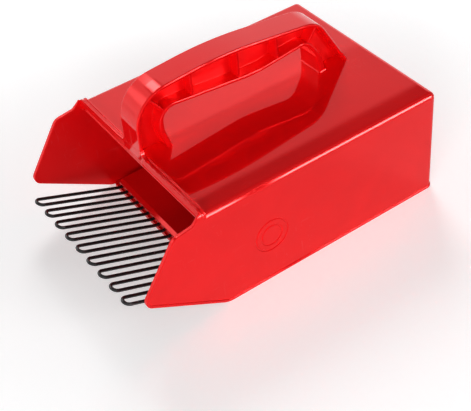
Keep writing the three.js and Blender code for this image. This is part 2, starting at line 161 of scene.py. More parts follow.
# Floor plate, clamp bar and screws. A head's edge is (inside the head's radius, above its flat).
SOFT_EDGE = 0.0003
FLOOR_ROUND = 0.003
FLOOR_EDGE = 0.0004
SEAT_ROOT = 0.0011
SLOT_ROUND_SHARE = 0.6
CHAMFER_RUN = 0.0025
CHAMFER_DROP = 0.002
CHAMFER_ROUND = 0.0009
BOSS_CHAMFER = 0.0005
CLAMP_SCREW_PITCHES = (-3.5, -1.5, 1.5, 3.5)
BOSS_ROW_SHARES = (0, 0.5, 1)
SCREW_GAP = 0.00012
SCREW_POINT = 0.0016
HOLE_EDGE_DEPTH = 0.0002
HEAD_DISH = 0.00003
HEAD_EDGE = ((0.0005, 0), (0.0001, 0.00006), (0, 0.0002))
THREAD_PITCH = 0.0006
THREAD_DEPTH = 0.00022
CROSS_REACH = 0.0015
CROSS_HALF_WIDTH = 0.0004
CROSS_DEPTH = 0.0009

# Wire: its end as (distance along the wire, share of its radius), and the shares of the straight run
# before the tip that get a ring.
WIRE_DOME = ((0.0, 0.62), (0.00013, 0.88), (0.00036, 1.0))
TIP_RUN_SHARES = (0.25, 0.5, 0.75)

# Finishes: noise is stretched along one axis to draw scratches and turning marks.
SCRATCH_SCALES = ((40, 900, 300), (700, 60, 400), (500, 500, 45))
TURNING_SCALE = (900, 900, 5200)
TURNING_DEPTH = 0.00005
RELIEF_DEPTH = 0.0003
DUST_COLOUR = (0.72, 0.66, 0.62, 1)
DUST_SHARE = 0.10
PLASTIC_IOR = 2.6
PLASTIC_MIRROR_TINT = (1, 0.06, 0.06, 1)
COATING_IOR = 1.5

# Studio: the camera's turn, tip and roll in degrees, the mouth's place in its view (right, up, ahead), and
# its focal length and the picture's width in pixels.
CAMERA_ANGLES = (59.32532435810902, 42.48431748978665, -6.302021529235411)
CAMERA_TO_MOUTH = (-0.05264764519542079, -0.025968931649605288, 0.6764248617779286)
PICTURE_FOCUS = 1061.2622917918395
PICTURE_WIDTH = 471
SENSOR_WIDTH = 36
NEAREST_SEEN = 0.01

# Lamps: square panels as (name, place, length of a side, the finish that holds the power).
LAMPS = (
    ("Key panel", (1.22, 0.7, 0.55), 0.5, "key"),
    ("Front panel", (0.86, -1.0, 0.35), 0.7, "front"),
    ("Back panel", (-0.85, 0.5, 0.9), 0.45, "back"),
)
LAMP_AIM = (0, 0, 0.05)

# Ground, and what the gloss mirrors.
GROUND_REACH = 4
PANEL_SOFTNESS = 0.012
LEAST_LEFTWARD = 0.02


def length(name, millimetres, description):
    """A length property whose default is given in millimetres."""
    return FloatProperty(
        name=name, description=description, default=millimetres / 1000, min=0, unit="LENGTH", precision=5
    )


def angle(name, degrees, description):
    """An angle property whose default is given in degrees."""
    return FloatProperty(name=name, description=description, default=math.radians(degrees), subtype="ANGLE")


def power(name, watts, description):
    """A lamp's power in watts."""
    return FloatProperty(name=name, description=description, default=watts, min=0, unit="POWER")


def colour(name, value, description):
    """A colour property with linear values."""
    return FloatVectorProperty(
        name=name, description=description, default=value, size=3, min=0, max=1, subtype="COLOR"
    )


class RakeBoxSizes(bpy.types.PropertyGroup):
    """Sizes of the scoop box."""

    width: length("Width", 140, "Outside width of the box")
    depth: length("Depth", 173.4, "From the mouth plane to the back wall's outer face")
    roof: length("Roof height", 76, "Height of the roof above the ground")
    wall: length("Wall", 2.2, "Thickness of the walls")
    edge_round: length("Edge radius", 4, "Outer radius of the roof edges and the back corners")
    neck_reach: length("Neck reach", 5.7, "How far forward of the mouth a cheek's upper edge turns")
    neck_drop: length("Neck drop", 6.4, "How far that turn lies below the rim")
    neck_round: length("Neck radius", 3, "Radius of that turn")
    brow_reach: length("Brow reach", 19, "How far the upper corner of a cheek stands forward")
    brow_drop: length("Brow drop", 8.3, "How far the upper corner of a cheek lies below the rim")
    brow_round: length("Brow radius", 7, "Radius of the upper corner of a cheek")
    chin_reach: length("Chin reach", 44.6, "How far the lower corner of a cheek stands forward")
    chin_height: length("Chin height", 32.8, "Height of the lower corner of a cheek")
    chin_round: length("Chin radius", 6, "Radius of the lower corner of a cheek")
    heel_setback: length("Heel setback", 10.6, "Where the level bottom edge starts behind the mouth")
    heel_round: length("Heel radius", 14, "Radius where the cheek's lower edge turns level")
    bead_width: length("Bead width", 2, "Width of the bead along the walls' free edges")
    bead_stand: length("Bead stand", 0.56, "How far the bead stands proud of the walls")
    rim_raise: length("Rim raise", 3, "Height of the mouth rim above the roof")
    rim_depth: length("Rim depth", 4, "Front to back size of the mouth rim")
    lip_drop: length("Lip drop", 3, "How far the rim hangs below the roof's underside")
    medallion_setback: length("Medallion setback", 45.3, "Distance of the medallion behind the mouth")
    medallion_height: length("Medallion height", 34.8, "Height of the medallion's centre")
    medallion_radius: length("Medallion radius", 12, "Radius of the medallion's outer ring")
    medallion_inner_radius: length("Inner ring radius", 7.8, "Radius of the medallion's inner ring")
    ring_width: length("Ring width", 1.1, "Width of the ring grooves")
    ring_depth: length("Ring depth", 0.45, "Depth of the ring grooves")


class RakeHandleSizes(bpy.types.PropertyGroup):
    """Sizes of the carrying handle."""

    width: length("Width", 19.4, "Width of the handle's flanges")
    left_offset: length("Left offset", 2.7, "How far the handle's middle stands left of the box's middle")
    web: length("Web", 2, "Thickness of the web between the flanges")
    flange: length("Flange", 2.2, "Thickness of the flanges")
    front_leg_flange: length("Front leg flange", 3.4, "Thickness of the inner flange on the front leg")
    back_leg_flange: length("Back leg flange", 2.6, "Thickness of the inner flange on the back leg")
    back_foot_flange: length("Back foot flange", 5.4, "Thickness of the inner flange at the back foot")
    rise: length("Rise", 46.5, "Height of the crown above the roof")
    front_shoulder_setback: length("Front shoulder setback", 0.7, "Front shoulder's place behind the mouth")
    front_shoulder_drop: length("Front shoulder drop", 4.5, "Front shoulder's depth below the crown")
    front_shoulder_round: length("Front shoulder radius", 23.8, "Radius of the front shoulder")
    crown_setback: length("Crown setback", 62.51, "Crown's place behind the mouth")
    crown_round: length("Crown radius", 239.4, "Radius of the crown")
    back_shoulder_setback: length("Back shoulder setback", 133, "Back shoulder's place behind the mouth")
    back_shoulder_drop: length("Back shoulder drop", 8.5, "Back shoulder's depth below the crown")
    back_shoulder_round: length("Back shoulder radius", 18.8, "Radius of the back shoulder")
    back_foot_setback: length("Back foot setback", 156, "Where the back leg's outer face meets the roof")
    back_foot_depth: length("Back foot depth", 24, "Depth of the back leg where it meets the roof")
    back_flare_lead: length("Back flare lead", 0.9, "The back flare's top ahead of the foot's inner face")
    back_flare_height: length("Back flare height", 12.5, "Height of the back leg's flare")
    back_foot_round: length("Back flare radius", 15, "Radius at the top of the back leg's flare")
    front_leg_depth: length("Front leg depth", 18.4, "Depth of the front leg")
    front_foot_flare: length("Front foot flare", 4, "What the front leg gains in depth at the roof")
    front_foot_flare_height: length("Front flare height", 13, "Height of the front leg's flare")
    front_foot_round: length("Front flare radius", 20, "Radius at the top of the front leg's flare")
    grip_front_drop: length("Grip front drop", 18.7, "Grip's underside below the crown at its front")
    grip_belly_setback: length("Belly setback", 84.06, "Place of the grip's lowest point")
    grip_belly_drop: length("Belly drop", 25.3, "Grip's lowest point below the crown")
    grip_belly_round: length("Belly radius", 80, "Radius of the grip's underside")
    grip_back_lead: length("Grip back lead", 9.8, "Grip's back corner ahead of the back shoulder")
    grip_back_drop: length("Grip back drop", 20.9, "Grip's underside below the crown at its back")
    grip_corner_round: length("Grip corner radius", 8, "Radius of the grip's inner corners")
    foot_fillet: length("Foot fillet", 4, "Radius between the front leg's sides and the rim")
    back_foot_fillet: length("Back foot fillet", 0.9, "Radius between the back leg and the roof")
    edge_round: length("Flange edge radius", 1.0, "Radius along the flanges' outer edges")
    web_fillet: length("Web fillet", 0.4, "Radius between the web and the flanges")
    rib: length("Rib", 1.6, "Thickness of the ribs")
    rib_inset: length("Rib inset", 0.8, "How far the ribs stand back from the flanges' edges")
    rib_shares: FloatVectorProperty(
        name="Rib places",
        description="Places of the upright ribs, as shares of the back shoulder's",
        default=(0.301, 0.547, 0.761),
        size=3,
    )
    front_rib_lead: length("Front rib lead", 2.5, "Front rib's middle ahead of the front leg's inner face")
    front_rib_drop: length("Front rib drop", 15.1, "Front rib's middle below the crown")
    front_rib_tilt: angle("Front rib tilt", 37, "Tilt of the front rib")
    back_rib_lead: length("Back rib lead", 5.6, "Back rib's middle ahead of the back shoulder")
    back_rib_drop: length("Back rib drop", 17.5, "Back rib's middle below the crown")
    back_rib_tilt: angle("Back rib tilt", 38, "Tilt of the back rib")


class RakeCombSizes(bpy.types.PropertyGroup):
    """Sizes of the comb, the floor plate and the screws."""

    tines: IntProperty(name="Hairpins", description="Number of wire hairpins", default=9, min=1, max=15)
    wire: length("Wire", 2.2, "Diameter of the coated wire")
    tip_reach: length("Tip reach", 48.9, "Reach of the wire's centre line ahead of the mouth")
    tip_height: length("Tip height", 28.4, "Height of the tips")
    knee_lead: length("Knee lead", 0.5, "The wire starts to rise this far ahead of the heel")
    knee_round: length("Knee radius", 8, "Radius where the wire starts to rise")
    hook_round: length("Hook radius", 2.2, "Radius of the hooked ends")
    hook_margin: length("Hook margin", 3, "From the hooked ends to the back of the seat")
    wire_end: length("Wire end", 0.8, "Height of the wire's ends above the ground")
    groove_gap: length("Groove gap", 0.15, "Gap between the wire and its groove")
    floor: length("Floor", 3, "Thickness of the floor plate")
    fit_gap: length("Fit gap", 0.3, "Gap between parts that are slipped together")
    seat_raise: length("Seat raise", 1.9, "Height of the comb's seat above the floor plate")
    clamp_depth: length("Clamp depth", 25, "Front to back size of the clamp bar")
    clamp_height: length("Clamp height", 3.7, "Height of the clamp bar")
    end_gap: length("End gap", 6.8, "From the clamp bar's ends to the side walls")
    head_radius: length("Screw head radius", 2.6, "Radius of the screw heads")
    head_height: length("Screw head height", 1.5, "Height of the countersunk heads")
    shank_radius: length("Screw shank radius", 1.3, "Radius of the screw shanks")
    sinking: length("Screw sinking", 0.25, "How far the heads lie inside the floor plate")
    floor_screw: length("Floor screw", 14, "Length of the floor screws")
    clamp_screw: length("Clamp screw", 7.4, "Length of the clamp screws")
    boss_height: length("Boss height", 17, "Height of the screw bosses above the floor plate")
    boss_gap: length("Boss gap", 12, "From the bosses' row ends to the seat and the back wall")
    screw_margin: length("Screw margin", 1.2, "Floor plate left between a screw head and a wall")


class RakeFinishes(bpy.types.PropertyGroup):
    """Colours of the pieces and levels of the studio."""

    scoop: colour("Scoop", (0.86, 0.004, 0.006), "Colour of the moulded scoop")
    inner: colour("Floor and clamp", (0.74, 0.005, 0.007), "Colour of the floor plate and the clamp bar")
    coating: colour("Wire coating", (0.006, 0.006, 0.0065), "Colour of the coating on the wire")
    steel: colour("Screws", (0.56, 0.57, 0.58), "Colour of the screws")
    ground: colour("Ground", (0.86, 0.86, 0.865), "Colour of the studio floor")
    dome: FloatProperty(name="Dome", description="Brightness of the studio dome", default=0.17, min=0)
    key: power("Key", 4.6, "Power of the key panel at the right")
    front: power("Front", 12.3, "Power of the front panel")
    back: power("Back", 6.6, "Power of the left back panel")


def corner(across, up, radius=0.0):
    """A corner of an outline: its place before rounding and the radius that rounds it."""
    return Vector((across, up)), radius


def millimetre_corners(rows):
    """Corners from rows of across, up and radius in millimetres."""
    return [corner(*(number * MILLIMETRE for number in row)) for row in rows]


def rectangle(left, right, low, high, radius):
    """Corners of a rectangle, all rounded by one radius."""
    places = ((left, low), (right, low), (right, high), (left, high))
    return [corner(across, up, radius) for across, up in places]


def arc(steps, turn=math.pi / 2, start=0.0):
    """Cosine and sine at the steps of a turn, with both its ends."""
    reached = [start + turn * part / steps for part in range(steps + 1)]
    return [(math.cos(turned), math.sin(turned)) for turned in reached]


def circle(sides):
    """Cosine and sine once round a circle."""
    return arc(sides, 2 * math.pi)[:-1]


def rounded(corners, closed=False, step=FINE_ARC):
    """Points along a line through corners, with each rounded corner as an arc."""
    points = []
    for index, (place, radius) in enumerate(corners):
        at_end = not closed and index in (0, len(corners) - 1)
        if at_end or radius == 0:
            points.append(place.copy())
            continue
        before = (corners[index - 1][0] - place).normalized()
        after = (corners[(index + 1) % len(corners)][0] - place).normalized()
        half = before.angle(after) / 2
        middle = place + (before + after).normalized() * radius / math.sin(half)
        arm = place + before * radius / math.tan(half) - middle
        turn = (math.pi - 2 * half) * (-1 if before.cross(after) > 0 else 1)
        by_turn = math.ceil(abs(turn) / step)
        by_length = math.ceil(abs(turn) * radius / LONGEST_CHORD)
        for cos, sin in arc(max(FEWEST_CHORDS, by_turn, by_length), turn):
            points.append(middle + Vector((arm.x * cos - arm.y * sin, arm.x * sin + arm.y * cos)))
    return points


def leftward(points, closed=False):
    """Unit normals to the left of a line, one for each of its points."""
    normals = []
    count = len(points)
    for index in range(count):
        ahead = (index + 1) % count if closed else min(index + 1, count - 1)
        behind = index - 1 if closed else max(index - 1, 0)
        along = (points[ahead] - points[behind]).normalized()
        normals.append(Vector((-along.y, along.x)))
    return normals


def offset_line(line, distance):
    """An open line moved to its left by a distance."""
    return [p + n * distance for p, n in zip(line, leftward(line))]


def with_mirror(points):
    """Points of one half of a shape, and then those of the other half back to the start."""
    return points + [Vector((-p.x, p.y)) for p in reversed(points)]


def rising_share(value, low, high):
    """0 below low, 1 above high, and a soft step between them."""
    share = min(max((value - low) / (high - low), 0), 1)
    return share * share * (3 - 2 * share)


def finished_object(name, work):
    """Mesh object from a bmesh, with its faces turned outwards."""
    bmesh.ops.recalc_face_normals(work, faces=work.faces)
    mesh = bpy.data.meshes.new(name)
    work.to_mesh(mesh)
    work.free()
    return linked_object(name, mesh)


def linked_object(name, data):
    """Object of a mesh, lamp or camera, linked to the scene."""
    made = bpy.data.objects.new(name, data)
    bpy.context.scene.collection.objects.link(made)
    return made


def band(work, first, second):
    """Quads between two closed loops of vertices."""
    for index in range(len(first)):
        after = (index + 1) % len(first)
        work.faces.new((first[index], first[after], second[after], second[index]))


def solid(name, rows):
    """Closed mesh object from rows of points: each row a closed loop, with quads between and capped ends."""
    work = bmesh.new()
    loops = [[work.verts.new(point) for point in row] for row in rows]
    for first, second in zip(loops, loops[1:]):
        band(work, first, second)
    work.faces.new(reversed(loops[0]))
    work.faces.new(loops[-1])
    return finished_object(name, work)


def across_prism(name, outline, low_x, high_x):
    """Solid with an outline in (y, z), from one x to another."""
    return solid(name, [[Vector((x, p.x, p.y)) for p in outline] for x in (low_x, high_x)])


def along_prism(name, outline, low_y, high_y):
    """Solid with an outline in (x, z), from one y to another."""
    return solid(name, [[Vector((p.x, y, p.y)) for p in outline] for y in (low_y, high_y)])


def softened_block(name, low, high, radius=0.0, segments=3):
    """Box between two corners, with all its edges rounded."""
    work = bmesh.new()
    low, high = Vector(low), Vector(high)
    bmesh.ops.create_cube(work, size=1, matrix=Matrix.LocRotScale((high + low) / 2, None, high - low))
    if radius > 0:
        edges = list(work.edges)
        bmesh.ops.bevel(work, geom=edges, offset=radius, segments=segments, profile=0.5, affect="EDGES")
    return finished_object(name, work)


def softened_plate(name, outline, low_z, high_z, radius):
    """Level plate with rounded rims and an outline in (x, y) that runs anticlockwise."""
    shifts = [(radius * (1 - sin), radius * (1 - cos)) for cos, sin in arc(FEWEST_CHORDS)]
    levels = [(inset, low_z + lift) for inset, lift in shifts]
    levels += [(inset, high_z - lift) for inset, lift in reversed(shifts)]
    inward = leftward(outline, closed=True)
    rows = []
    for inset, z in levels:
        rows.append([Vector((p.x + n.x * inset, p.y + n.y * inset, z)) for p, n in zip(outline, inward)])
    return solid(name, rows)


def turned_solid(name, profile, sides, place):
    """Solid turned about an upright axis, from (radius, height) points that start and end on the axis."""
    work = bmesh.new()
    low = work.verts.new((0, 0, profile[0][1]))
    high = work.verts.new((0, 0, profile[-1][1]))
    rings = []
    for radius, height in profile[1:-1]:
        rings.append([work.verts.new((radius * cos, radius * sin, height)) for cos, sin in circle(sides)])
    for side in range(sides):
        after = (side + 1) % sides
        work.faces.new((low, rings[0][after], rings[0][side]))
        work.faces.new((high, rings[-1][side], rings[-1][after]))
        for first, second in zip(rings, rings[1:]):
            work.faces.new((first[side], first[after], second[after], second[side]))
    made = finished_object(name, work)
    made.data.transform(Matrix.Translation(place))
    return made


def combined(name, base, add=(), cut=(), keep=()):
    """Base with some solids added, then others cut away, and then only what lies in the kept ones."""
    for operation, others in (("UNION", add), ("DIFFERENCE", cut), ("INTERSECT", keep)):
        for other in others:
            change = base.modifiers.new(other.name, "BOOLEAN")
            change.operation = operation
            change.object = other
            change.solver = "MANIFOLD"
    bpy.context.view_layer.update()
    evaluated = base.evaluated_get(bpy.context.evaluated_depsgraph_get())
    mesh = bpy.data.meshes.new_from_object(evaluated)
    mesh.name = name
    made = linked_object(name, mesh)
    for used in (base, *add, *cut, *keep):
        bpy.data.objects.remove(used)
    return made


def mouth_place():
    """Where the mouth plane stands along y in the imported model's frame."""
    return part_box("floor_plate")[0].y - bpy.context.scene.rake_box.heel_setback


def settled(made, material, nodes, sharp=SHARP_TURN):
    """Cleans a piece, shades it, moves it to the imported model's frame and puts it in place of CAD nodes."""
    work = bmesh.new()
    work.from_mesh(made.data)
    bmesh.ops.remove_doubles(work, verts=work.verts, dist=SAME_PLACE)
    bmesh.ops.dissolve_degenerate(work, edges=work.edges, dist=SAME_PLACE)
    bmesh.ops.dissolve_limit(
        work, angle_limit=FLAT_TURN, verts=work.verts, edges=work.edges, use_dissolve_boundaries=False
    )
    loose = [v for v in work.verts if not v.link_faces]
    bmesh.ops.delete(work, geom=loose, context="VERTS")
    for face in work.faces:
        face.smooth = True
        face.material_index = 0
    work.transform(Matrix.Translation((0, mouth_place(), 0)))
    work.to_mesh(made.data)
    work.free()
    made.data.set_sharp_from_angle(angle=sharp)
    made.data.materials.clear()
    made.data.materials.append(material)
    even = made.modifiers.new("Even shading", "WEIGHTED_NORMAL")
    even.keep_sharp = True
    even.weight = LARGE_FACE_WEIGHT
    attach(made, "root")
    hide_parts(*nodes)


# Scoop box


def side_corners(inset):
    """Corners of the walls' free edge in side view, from the back wall to the mouth, moved in by an inset."""
    box = bpy.context.scene.rake_box
    rim_top = box.roof + box.rim_raise
    edge = [
        corner(box.depth + OVERRUN, inset),
        corner(box.heel_setback, 0, box.heel_round),
        corner(-box.chin_reach, box.chin_height, box.chin_round),
        corner(-box.brow_reach, rim_top - box.brow_drop, box.brow_round),
        corner(-box.neck_reach, rim_top - box.neck_drop, box.neck_round),
        corner(0, rim_top),
    ]
    if inset == 0:
        return edge
    moved = [edge[0]]
    for before, here, after in zip(edge, edge[1:], edge[2:]):
        moved.append((inset_corner(before[0], here[0], after[0], inset), here[1] - inset))
    return [*moved, edge[-1]]


def inset_corner(before, here, after, inset):
    """Where two edges of an outline meet once both are moved to their right by an inset."""
    first = (here - before).normalized()
    second = (after - here).normalized()
    first_normal = Vector((first.y, -first.x))
    second_normal = Vector((second.y, -second.x))
    return here + (first_normal + second_normal) * inset / (1 + first_normal.dot(second_normal))


def side_prism(name, inset):
    """Block across the box whose front and underside follow the walls' free edge."""
    box = bpy.context.scene.rake_box
    outline = rounded(side_corners(inset))
    top = box.roof + box.rim_raise + OVERRUN
    outline += [Vector((0, top)), Vector((box.depth + OVERRUN, top))]
    reach = box.width / 2 + OVERRUN
    return across_prism(name, outline, -reach, reach)


def edge_block(name, inset, top, radius, ends_at=None):
    """Long block with rounded edges that runs out past the chins and below the ground."""
    box = bpy.context.scene.rake_box
    half = box.width / 2 - inset
    back = box.depth - inset
    front = -box.chin_reach - OVERRUN - radius
    made = softened_block(name, (-half, front, -OVERRUN - radius), (half, back, top), radius, EDGE_SEGMENTS)
    if ends_at is None:
        return made
    past = softened_block("past", (-FAR, -FAR, -FAR), (FAR, ends_at, FAR))
    return combined(name, made, keep=[past])


def cheek_face(height):
    """Half width of the cheeks' outer faces at a height."""
    box = bpy.context.scene.rake_box
    radius = box.edge_round + box.rim_raise / 2
    rise = max(0, height - (box.roof + box.rim_raise - radius))
    return box.width / 2 - radius + math.sqrt(max(0, radius * radius - rise * rise))


def edge_stations():
    """Places along the right half of the walls' free edge, each with its outward and its inward direction."""
    box = bpy.context.scene.rake_box
    half = box.width / 2
    line = list(reversed(rounded(side_corners(0))))
    line = [p for p in line if p.x < box.depth - box.edge_round]
    last_leg = line[0] - line[1]
    line[0] = line[1] + last_leg * (1 - BEAD_STOP / last_leg.length)
    stations = []
    for place, normal in zip(line, leftward(line)):
        inward = Vector((0, normal.x, normal.y))
        stations.append((Vector((half, place.x, place.y)), Vector((1, 0, 0)), inward))
    middle = Vector((half - box.edge_round, box.depth - box.edge_round, 0))
    for cos, sin in arc(CORNER_CHORDS):
        outward = Vector((cos, sin, 0))
        stations.append((middle + outward * box.edge_round, outward, Vector((0, 0, 1))))
    return stations


def edge_bead():
    """Rounded bead along the free edges of the cheeks and walls, fading away below the rim."""
    box = bpy.context.scene.rake_box
    stations = edge_stations()
    flip = Vector((-1, 1, 1))
    mirrored = [tuple(vector * flip for vector in station) for station in reversed(stations)]
    rim_top = box.roof + box.rim_raise
    low = -box.wall - HIDDEN_STEP / 2
    rows = []
    for place, outward, inward in [*stations, *mirrored]:
        fade = rising_share(rim_top - place.z, BEAD_FADE_START, BEAD_FADE_END)
        proud = cheek_face(place.z) - box.width / 2 + box.bead_stand * fade - BEAD_SINK * (1 - fade)
        high = max(proud, low + BEAD_THINNEST)
        deep = box.bead_width * max(fade, BEAD_NARROWEST_SHARE)
        section = rounded(rectangle(low, high, 0, deep, BEAD_ROUND), closed=True, step=BEAD_ARC)
        rows.append([place + outward * p.x + inward * p.y for p in section])
    return solid("edge bead", rows)


def arch_points(half, top, radius, low):
    """Points over the mouth in (x, z), from the left side up and over to the right side."""
    points = [Vector((-half, low))]
    for cos, sin in arc(CORNER_CHORDS, -math.pi / 2, math.pi):
        points.append(Vector((-half + radius + radius * cos, top - radius + radius * sin)))
    return with_mirror(points)


def mouth_rim():
    """Raised rim over the mouth: two crests with a groove between, and a band and a bead on its front."""
    box = bpy.context.scene.rake_box
    top = box.roof + box.rim_raise
    low = box.roof - box.wall - box.lip_drop
    height = top - low
    end = low - RIM_END_DROP
    outer_arch = arch_points(box.width / 2 - HIDDEN_STEP, top, box.edge_round + box.rim_raise / 2, end)
    inner_arch = arch_points(box.width / 2 - box.wall - HIDDEN_STEP / 2, low, box.edge_round - box.wall, end)
    section = [
        *millimetre_corners(RIM_FRONT),
        corner(0, height, RIM_LIP_ROUND),
        corner(box.rim_depth, height, RIM_LIP_ROUND),
        corner(box.rim_depth, box.rim_raise + RIM_BACK_SINK),
        *millimetre_corners(RIM_CRESTS),
    ]
    profile = rounded(section, closed=True, step=RIM_ARC)
    rows = []
    for outer, inner in zip(outer_arch, inner_arch):
        spots = [(p.x, outer.lerp(inner, p.y / height)) for p in profile]
        rows.append([Vector((place.x, setback, place.y)) for setback, place in spots])
    return solid("mouth rim", rows)


def medallion_cut(side, radius):
    """Ring with soft shoulders to cut a groove into a side wall's outer face."""
    box = bpy.context.scene.rake_box
    face = box.width / 2
    shoulder = face - RING_FLARE
    brim = face + RING_BRIM
    clear = face + RING_CLEAR
    deep = face - box.ring_depth
    inner = radius - box.ring_width
    section = [
        (inner - RING_FLARE, clear),
        (inner - RING_FLARE, brim),
        (inner, shoulder),
        (inner + RING_DRAFT, deep),
        (radius - RING_DRAFT, deep),
        (radius, shoulder),
        (radius + RING_FLARE, brim),
        (radius + RING_FLARE, clear),
    ]
    work = bmesh.new()
    rings = []
    for cos, sin in circle(RING_SIDES):
        ring = []
        for reach, x in section:
            along = box.medallion_setback + reach * cos
            ring.append(work.verts.new((side * x, along, box.medallion_height + reach * sin)))
        rings.append(ring)
    for index, ring in enumerate(rings):
        band(work, ring, rings[(index + 1) % len(rings)])
    return finished_object("medallion cut", work)


def screw_bosses(places):
    """Posts inside the box that the floor screws bite into."""
    comb = bpy.context.scene.rake_comb
    low, high = comb.floor, comb.floor + comb.boss_height
    radius = places["boss_radius"]
    chamfer = [(radius, high - BOSS_CHAMFER), (radius - BOSS_CHAMFER, high)]
    profile = [(0, low), (radius, low), *chamfer, (0, high)]
    return [turned_solid("boss", profile, BOSS_SIDES, place) for place in places["floor_screws"]]


# Handle


def handle_levels():
    """Heights of the handle's crown and of its legs' roots, which end inside the roof."""
    box = bpy.context.scene.rake_box
    return box.roof + bpy.context.scene.rake_handle.rise, box.roof - box.wall + ROOT_COVER


def handle_outer_line():
    """Corners of the handle's outer face in side view, from the front root over the crown to the back."""
    handle = bpy.context.scene.rake_handle
    top, root = handle_levels()
    return [
        corner(0, root),
        corner(handle.front_shoulder_setback, top - handle.front_shoulder_drop, handle.front_shoulder_round),
        corner(handle.crown_setback, top, handle.crown_round),
        corner(handle.back_shoulder_setback, top - handle.back_shoulder_drop, handle.back_shoulder_round),
        corner(handle.back_foot_setback, root),
    ]


def handle_inner_line():
    """Corners of the face on the hand gap in side view, from the front root under the grip to the back."""
    handle = bpy.context.scene.rake_handle
    roof = bpy.context.scene.rake_box.roof
    top, root = handle_levels()
    depth = handle.front_leg_depth
    foot = handle.back_foot_setback - handle.back_foot_depth
    grip_back = handle.back_shoulder_setback - handle.grip_back_lead
    return [
        corner(depth + handle.front_foot_flare, root),
        corner(depth, roof + handle.front_foot_flare_height, handle.front_foot_round),
        corner(depth, top - handle.grip_front_drop, handle.grip_corner_round),
        corner(handle.grip_belly_setback, top - handle.grip_belly_drop, handle.grip_belly_round),
        corner(grip_back, top - handle.grip_back_drop, handle.grip_corner_round),
        corner(foot - handle.back_flare_lead, roof + handle.back_flare_height, handle.back_foot_round),
        corner(foot, root),
    ]


def flange_section(thickness, parting):
    """Cross section of a flange as (across, depth) points, with rounded edges and the web's root inside."""
    handle = bpy.context.scene.rake_handle
    half = handle.width / 2
    web = handle.web / 2 - HIDDEN_STEP / 2
    corners = [
        corner(PARTING_HALF_WIDTH, 0),
        corner(half, 0, handle.edge_round),
        corner(half, thickness, handle.edge_round * INNER_EDGE_SHARE),
        corner(web, thickness),
    ]
    right = rounded(corners, step=FLANGE_EDGE_ARC)[:-1]
    reach = handle.web_fillet
    for cos, sin in arc(WEB_FILLET_CHORDS):
        right.append(Vector((web + reach * (1 - sin), thickness + reach * (1 - cos))))
    return with_mirror(right) + [Vector((0, -PARTING_STAND if parting else PARTING_SINK))]


def flange(name, line, thicknesses, inward, parting):
    """Flange swept along a line in (y, z), with a thickness for each of the line's points."""
    rows = []
    for place, normal, thickness in zip(line, leftward(line), thicknesses):
        spots = [(p.x, place + normal * inward * p.y) for p in flange_section(thickness, parting)]
        rows.append([Vector((across, spot.x, spot.y)) for across, spot in spots])
    return solid(name, rows)


def inner_thicknesses(line):
    """Thickness of the inner flange at each point: heavier down the two legs than along the grip."""
    handle = bpy.context.scene.rake_handle
    roof = bpy.context.scene.rake_box.roof
    top, _ = handle_levels()
    foot_top = roof + handle.back_flare_height + FOOT_FADE_MARGIN
    found = []
    for place in line:
        leg_share = 1 - rising_share(place.y, top - LEG_FULL_DROP, top - LEG_FADE_DROP)
        if place.x < handle.grip_belly_setback:
            found.append(handle.flange + (handle.front_leg_flange - handle.flange) * leg_share)
            continue
        foot_share = 1 - rising_share(place.y, roof, foot_top)
        leg = handle.flange + (handle.back_leg_flange - handle.flange) * leg_share
        found.append(leg + (handle.back_foot_flange - leg) * foot_share)
    return found


def rib(setback, height, tilt, region):
    """Rib with rounded edges across the handle's channels, cut to the space between the flanges."""
    handle = bpy.context.scene.rake_handle
    half = handle.width / 2 - handle.rib_inset
    thick = handle.rib / 2
    outline = rounded(rectangle(-half, half, -thick, thick, RIB_ROUND), closed=True, step=RIB_ARC)
    turn = Matrix.Translation((0, setback, height)) @ Matrix.Rotation(tilt, 4, "X")
    reach = handle.grip_belly_drop
    plate = solid("rib", [[turn @ Vector((p.x, p.y, z)) for p in outline] for z in (-reach, reach)])
    space = linked_object(region.name, region.data.copy())
    return combined("rib", plate, keep=[space])


def handle_ribs(region):
    """Three upright ribs along the grip, and a slanting one in each shoulder."""
    handle = bpy.context.scene.rake_handle
    top, _ = handle_levels()
    back_shoulder = handle.back_shoulder_setback
    places = [(share * back_shoulder, top - handle.grip_belly_drop / 2, 0) for share in handle.rib_shares]
    front_setback = handle.front_leg_depth - handle.front_rib_lead
    places.append((front_setback, top - handle.front_rib_drop, handle.front_rib_tilt))
    places.append((back_shoulder - handle.back_rib_lead, top - handle.back_rib_drop, -handle.back_rib_tilt))
    return [rib(setback, height, tilt, region) for setback, height, tilt in places]


def fillet_outline(face, level, radius, side):
    """Section of a hollow fillet between an upright face, which looks to side -1 or 1, and a level one."""
    root = face - side * FILLET_ROOT
    under = level - FILLET_SINK
    outline = [Vector((root, under)), Vector((face + side * radius, under))]
    for cos, sin in arc(CORNER_CHORDS):
        outline.append(Vector((face + side * radius * (1 - sin), level + radius * (1 - cos))))
    outline.append(Vector((root, level + radius)))
    return outline


def foot_fillets():
    """Fillets of the front leg's sides on the rim's top, and of the back leg's inner flange on the roof."""
    handle = bpy.context.scene.rake_handle
    box = bpy.context.scene.rake_box
    half = handle.width / 2
    small = handle.back_foot_fillet
    foot = handle.back_foot_setback - handle.back_foot_depth
    foot_end = foot + handle.back_foot_flange
    made = []
    for side in (-1, 1):
        front = fillet_outline(side * half, box.roof + box.rim_raise, handle.foot_fillet, side)
        made.append(along_prism("front foot fillet", front, FILLET_STEP, handle.flange - FILLET_STEP))
        back = fillet_outline(side * half, box.roof, small, side)
        made.append(along_prism("back foot fillet", back, foot + FILLET_TRIM, foot_end - FILLET_TRIM))
    inner = fillet_outline(foot - FILLET_STEP, box.roof, small, -1)
    made.append(across_prism("inner foot fillet", inner, -half + FILLET_TRIM, half - FILLET_TRIM))
    return made


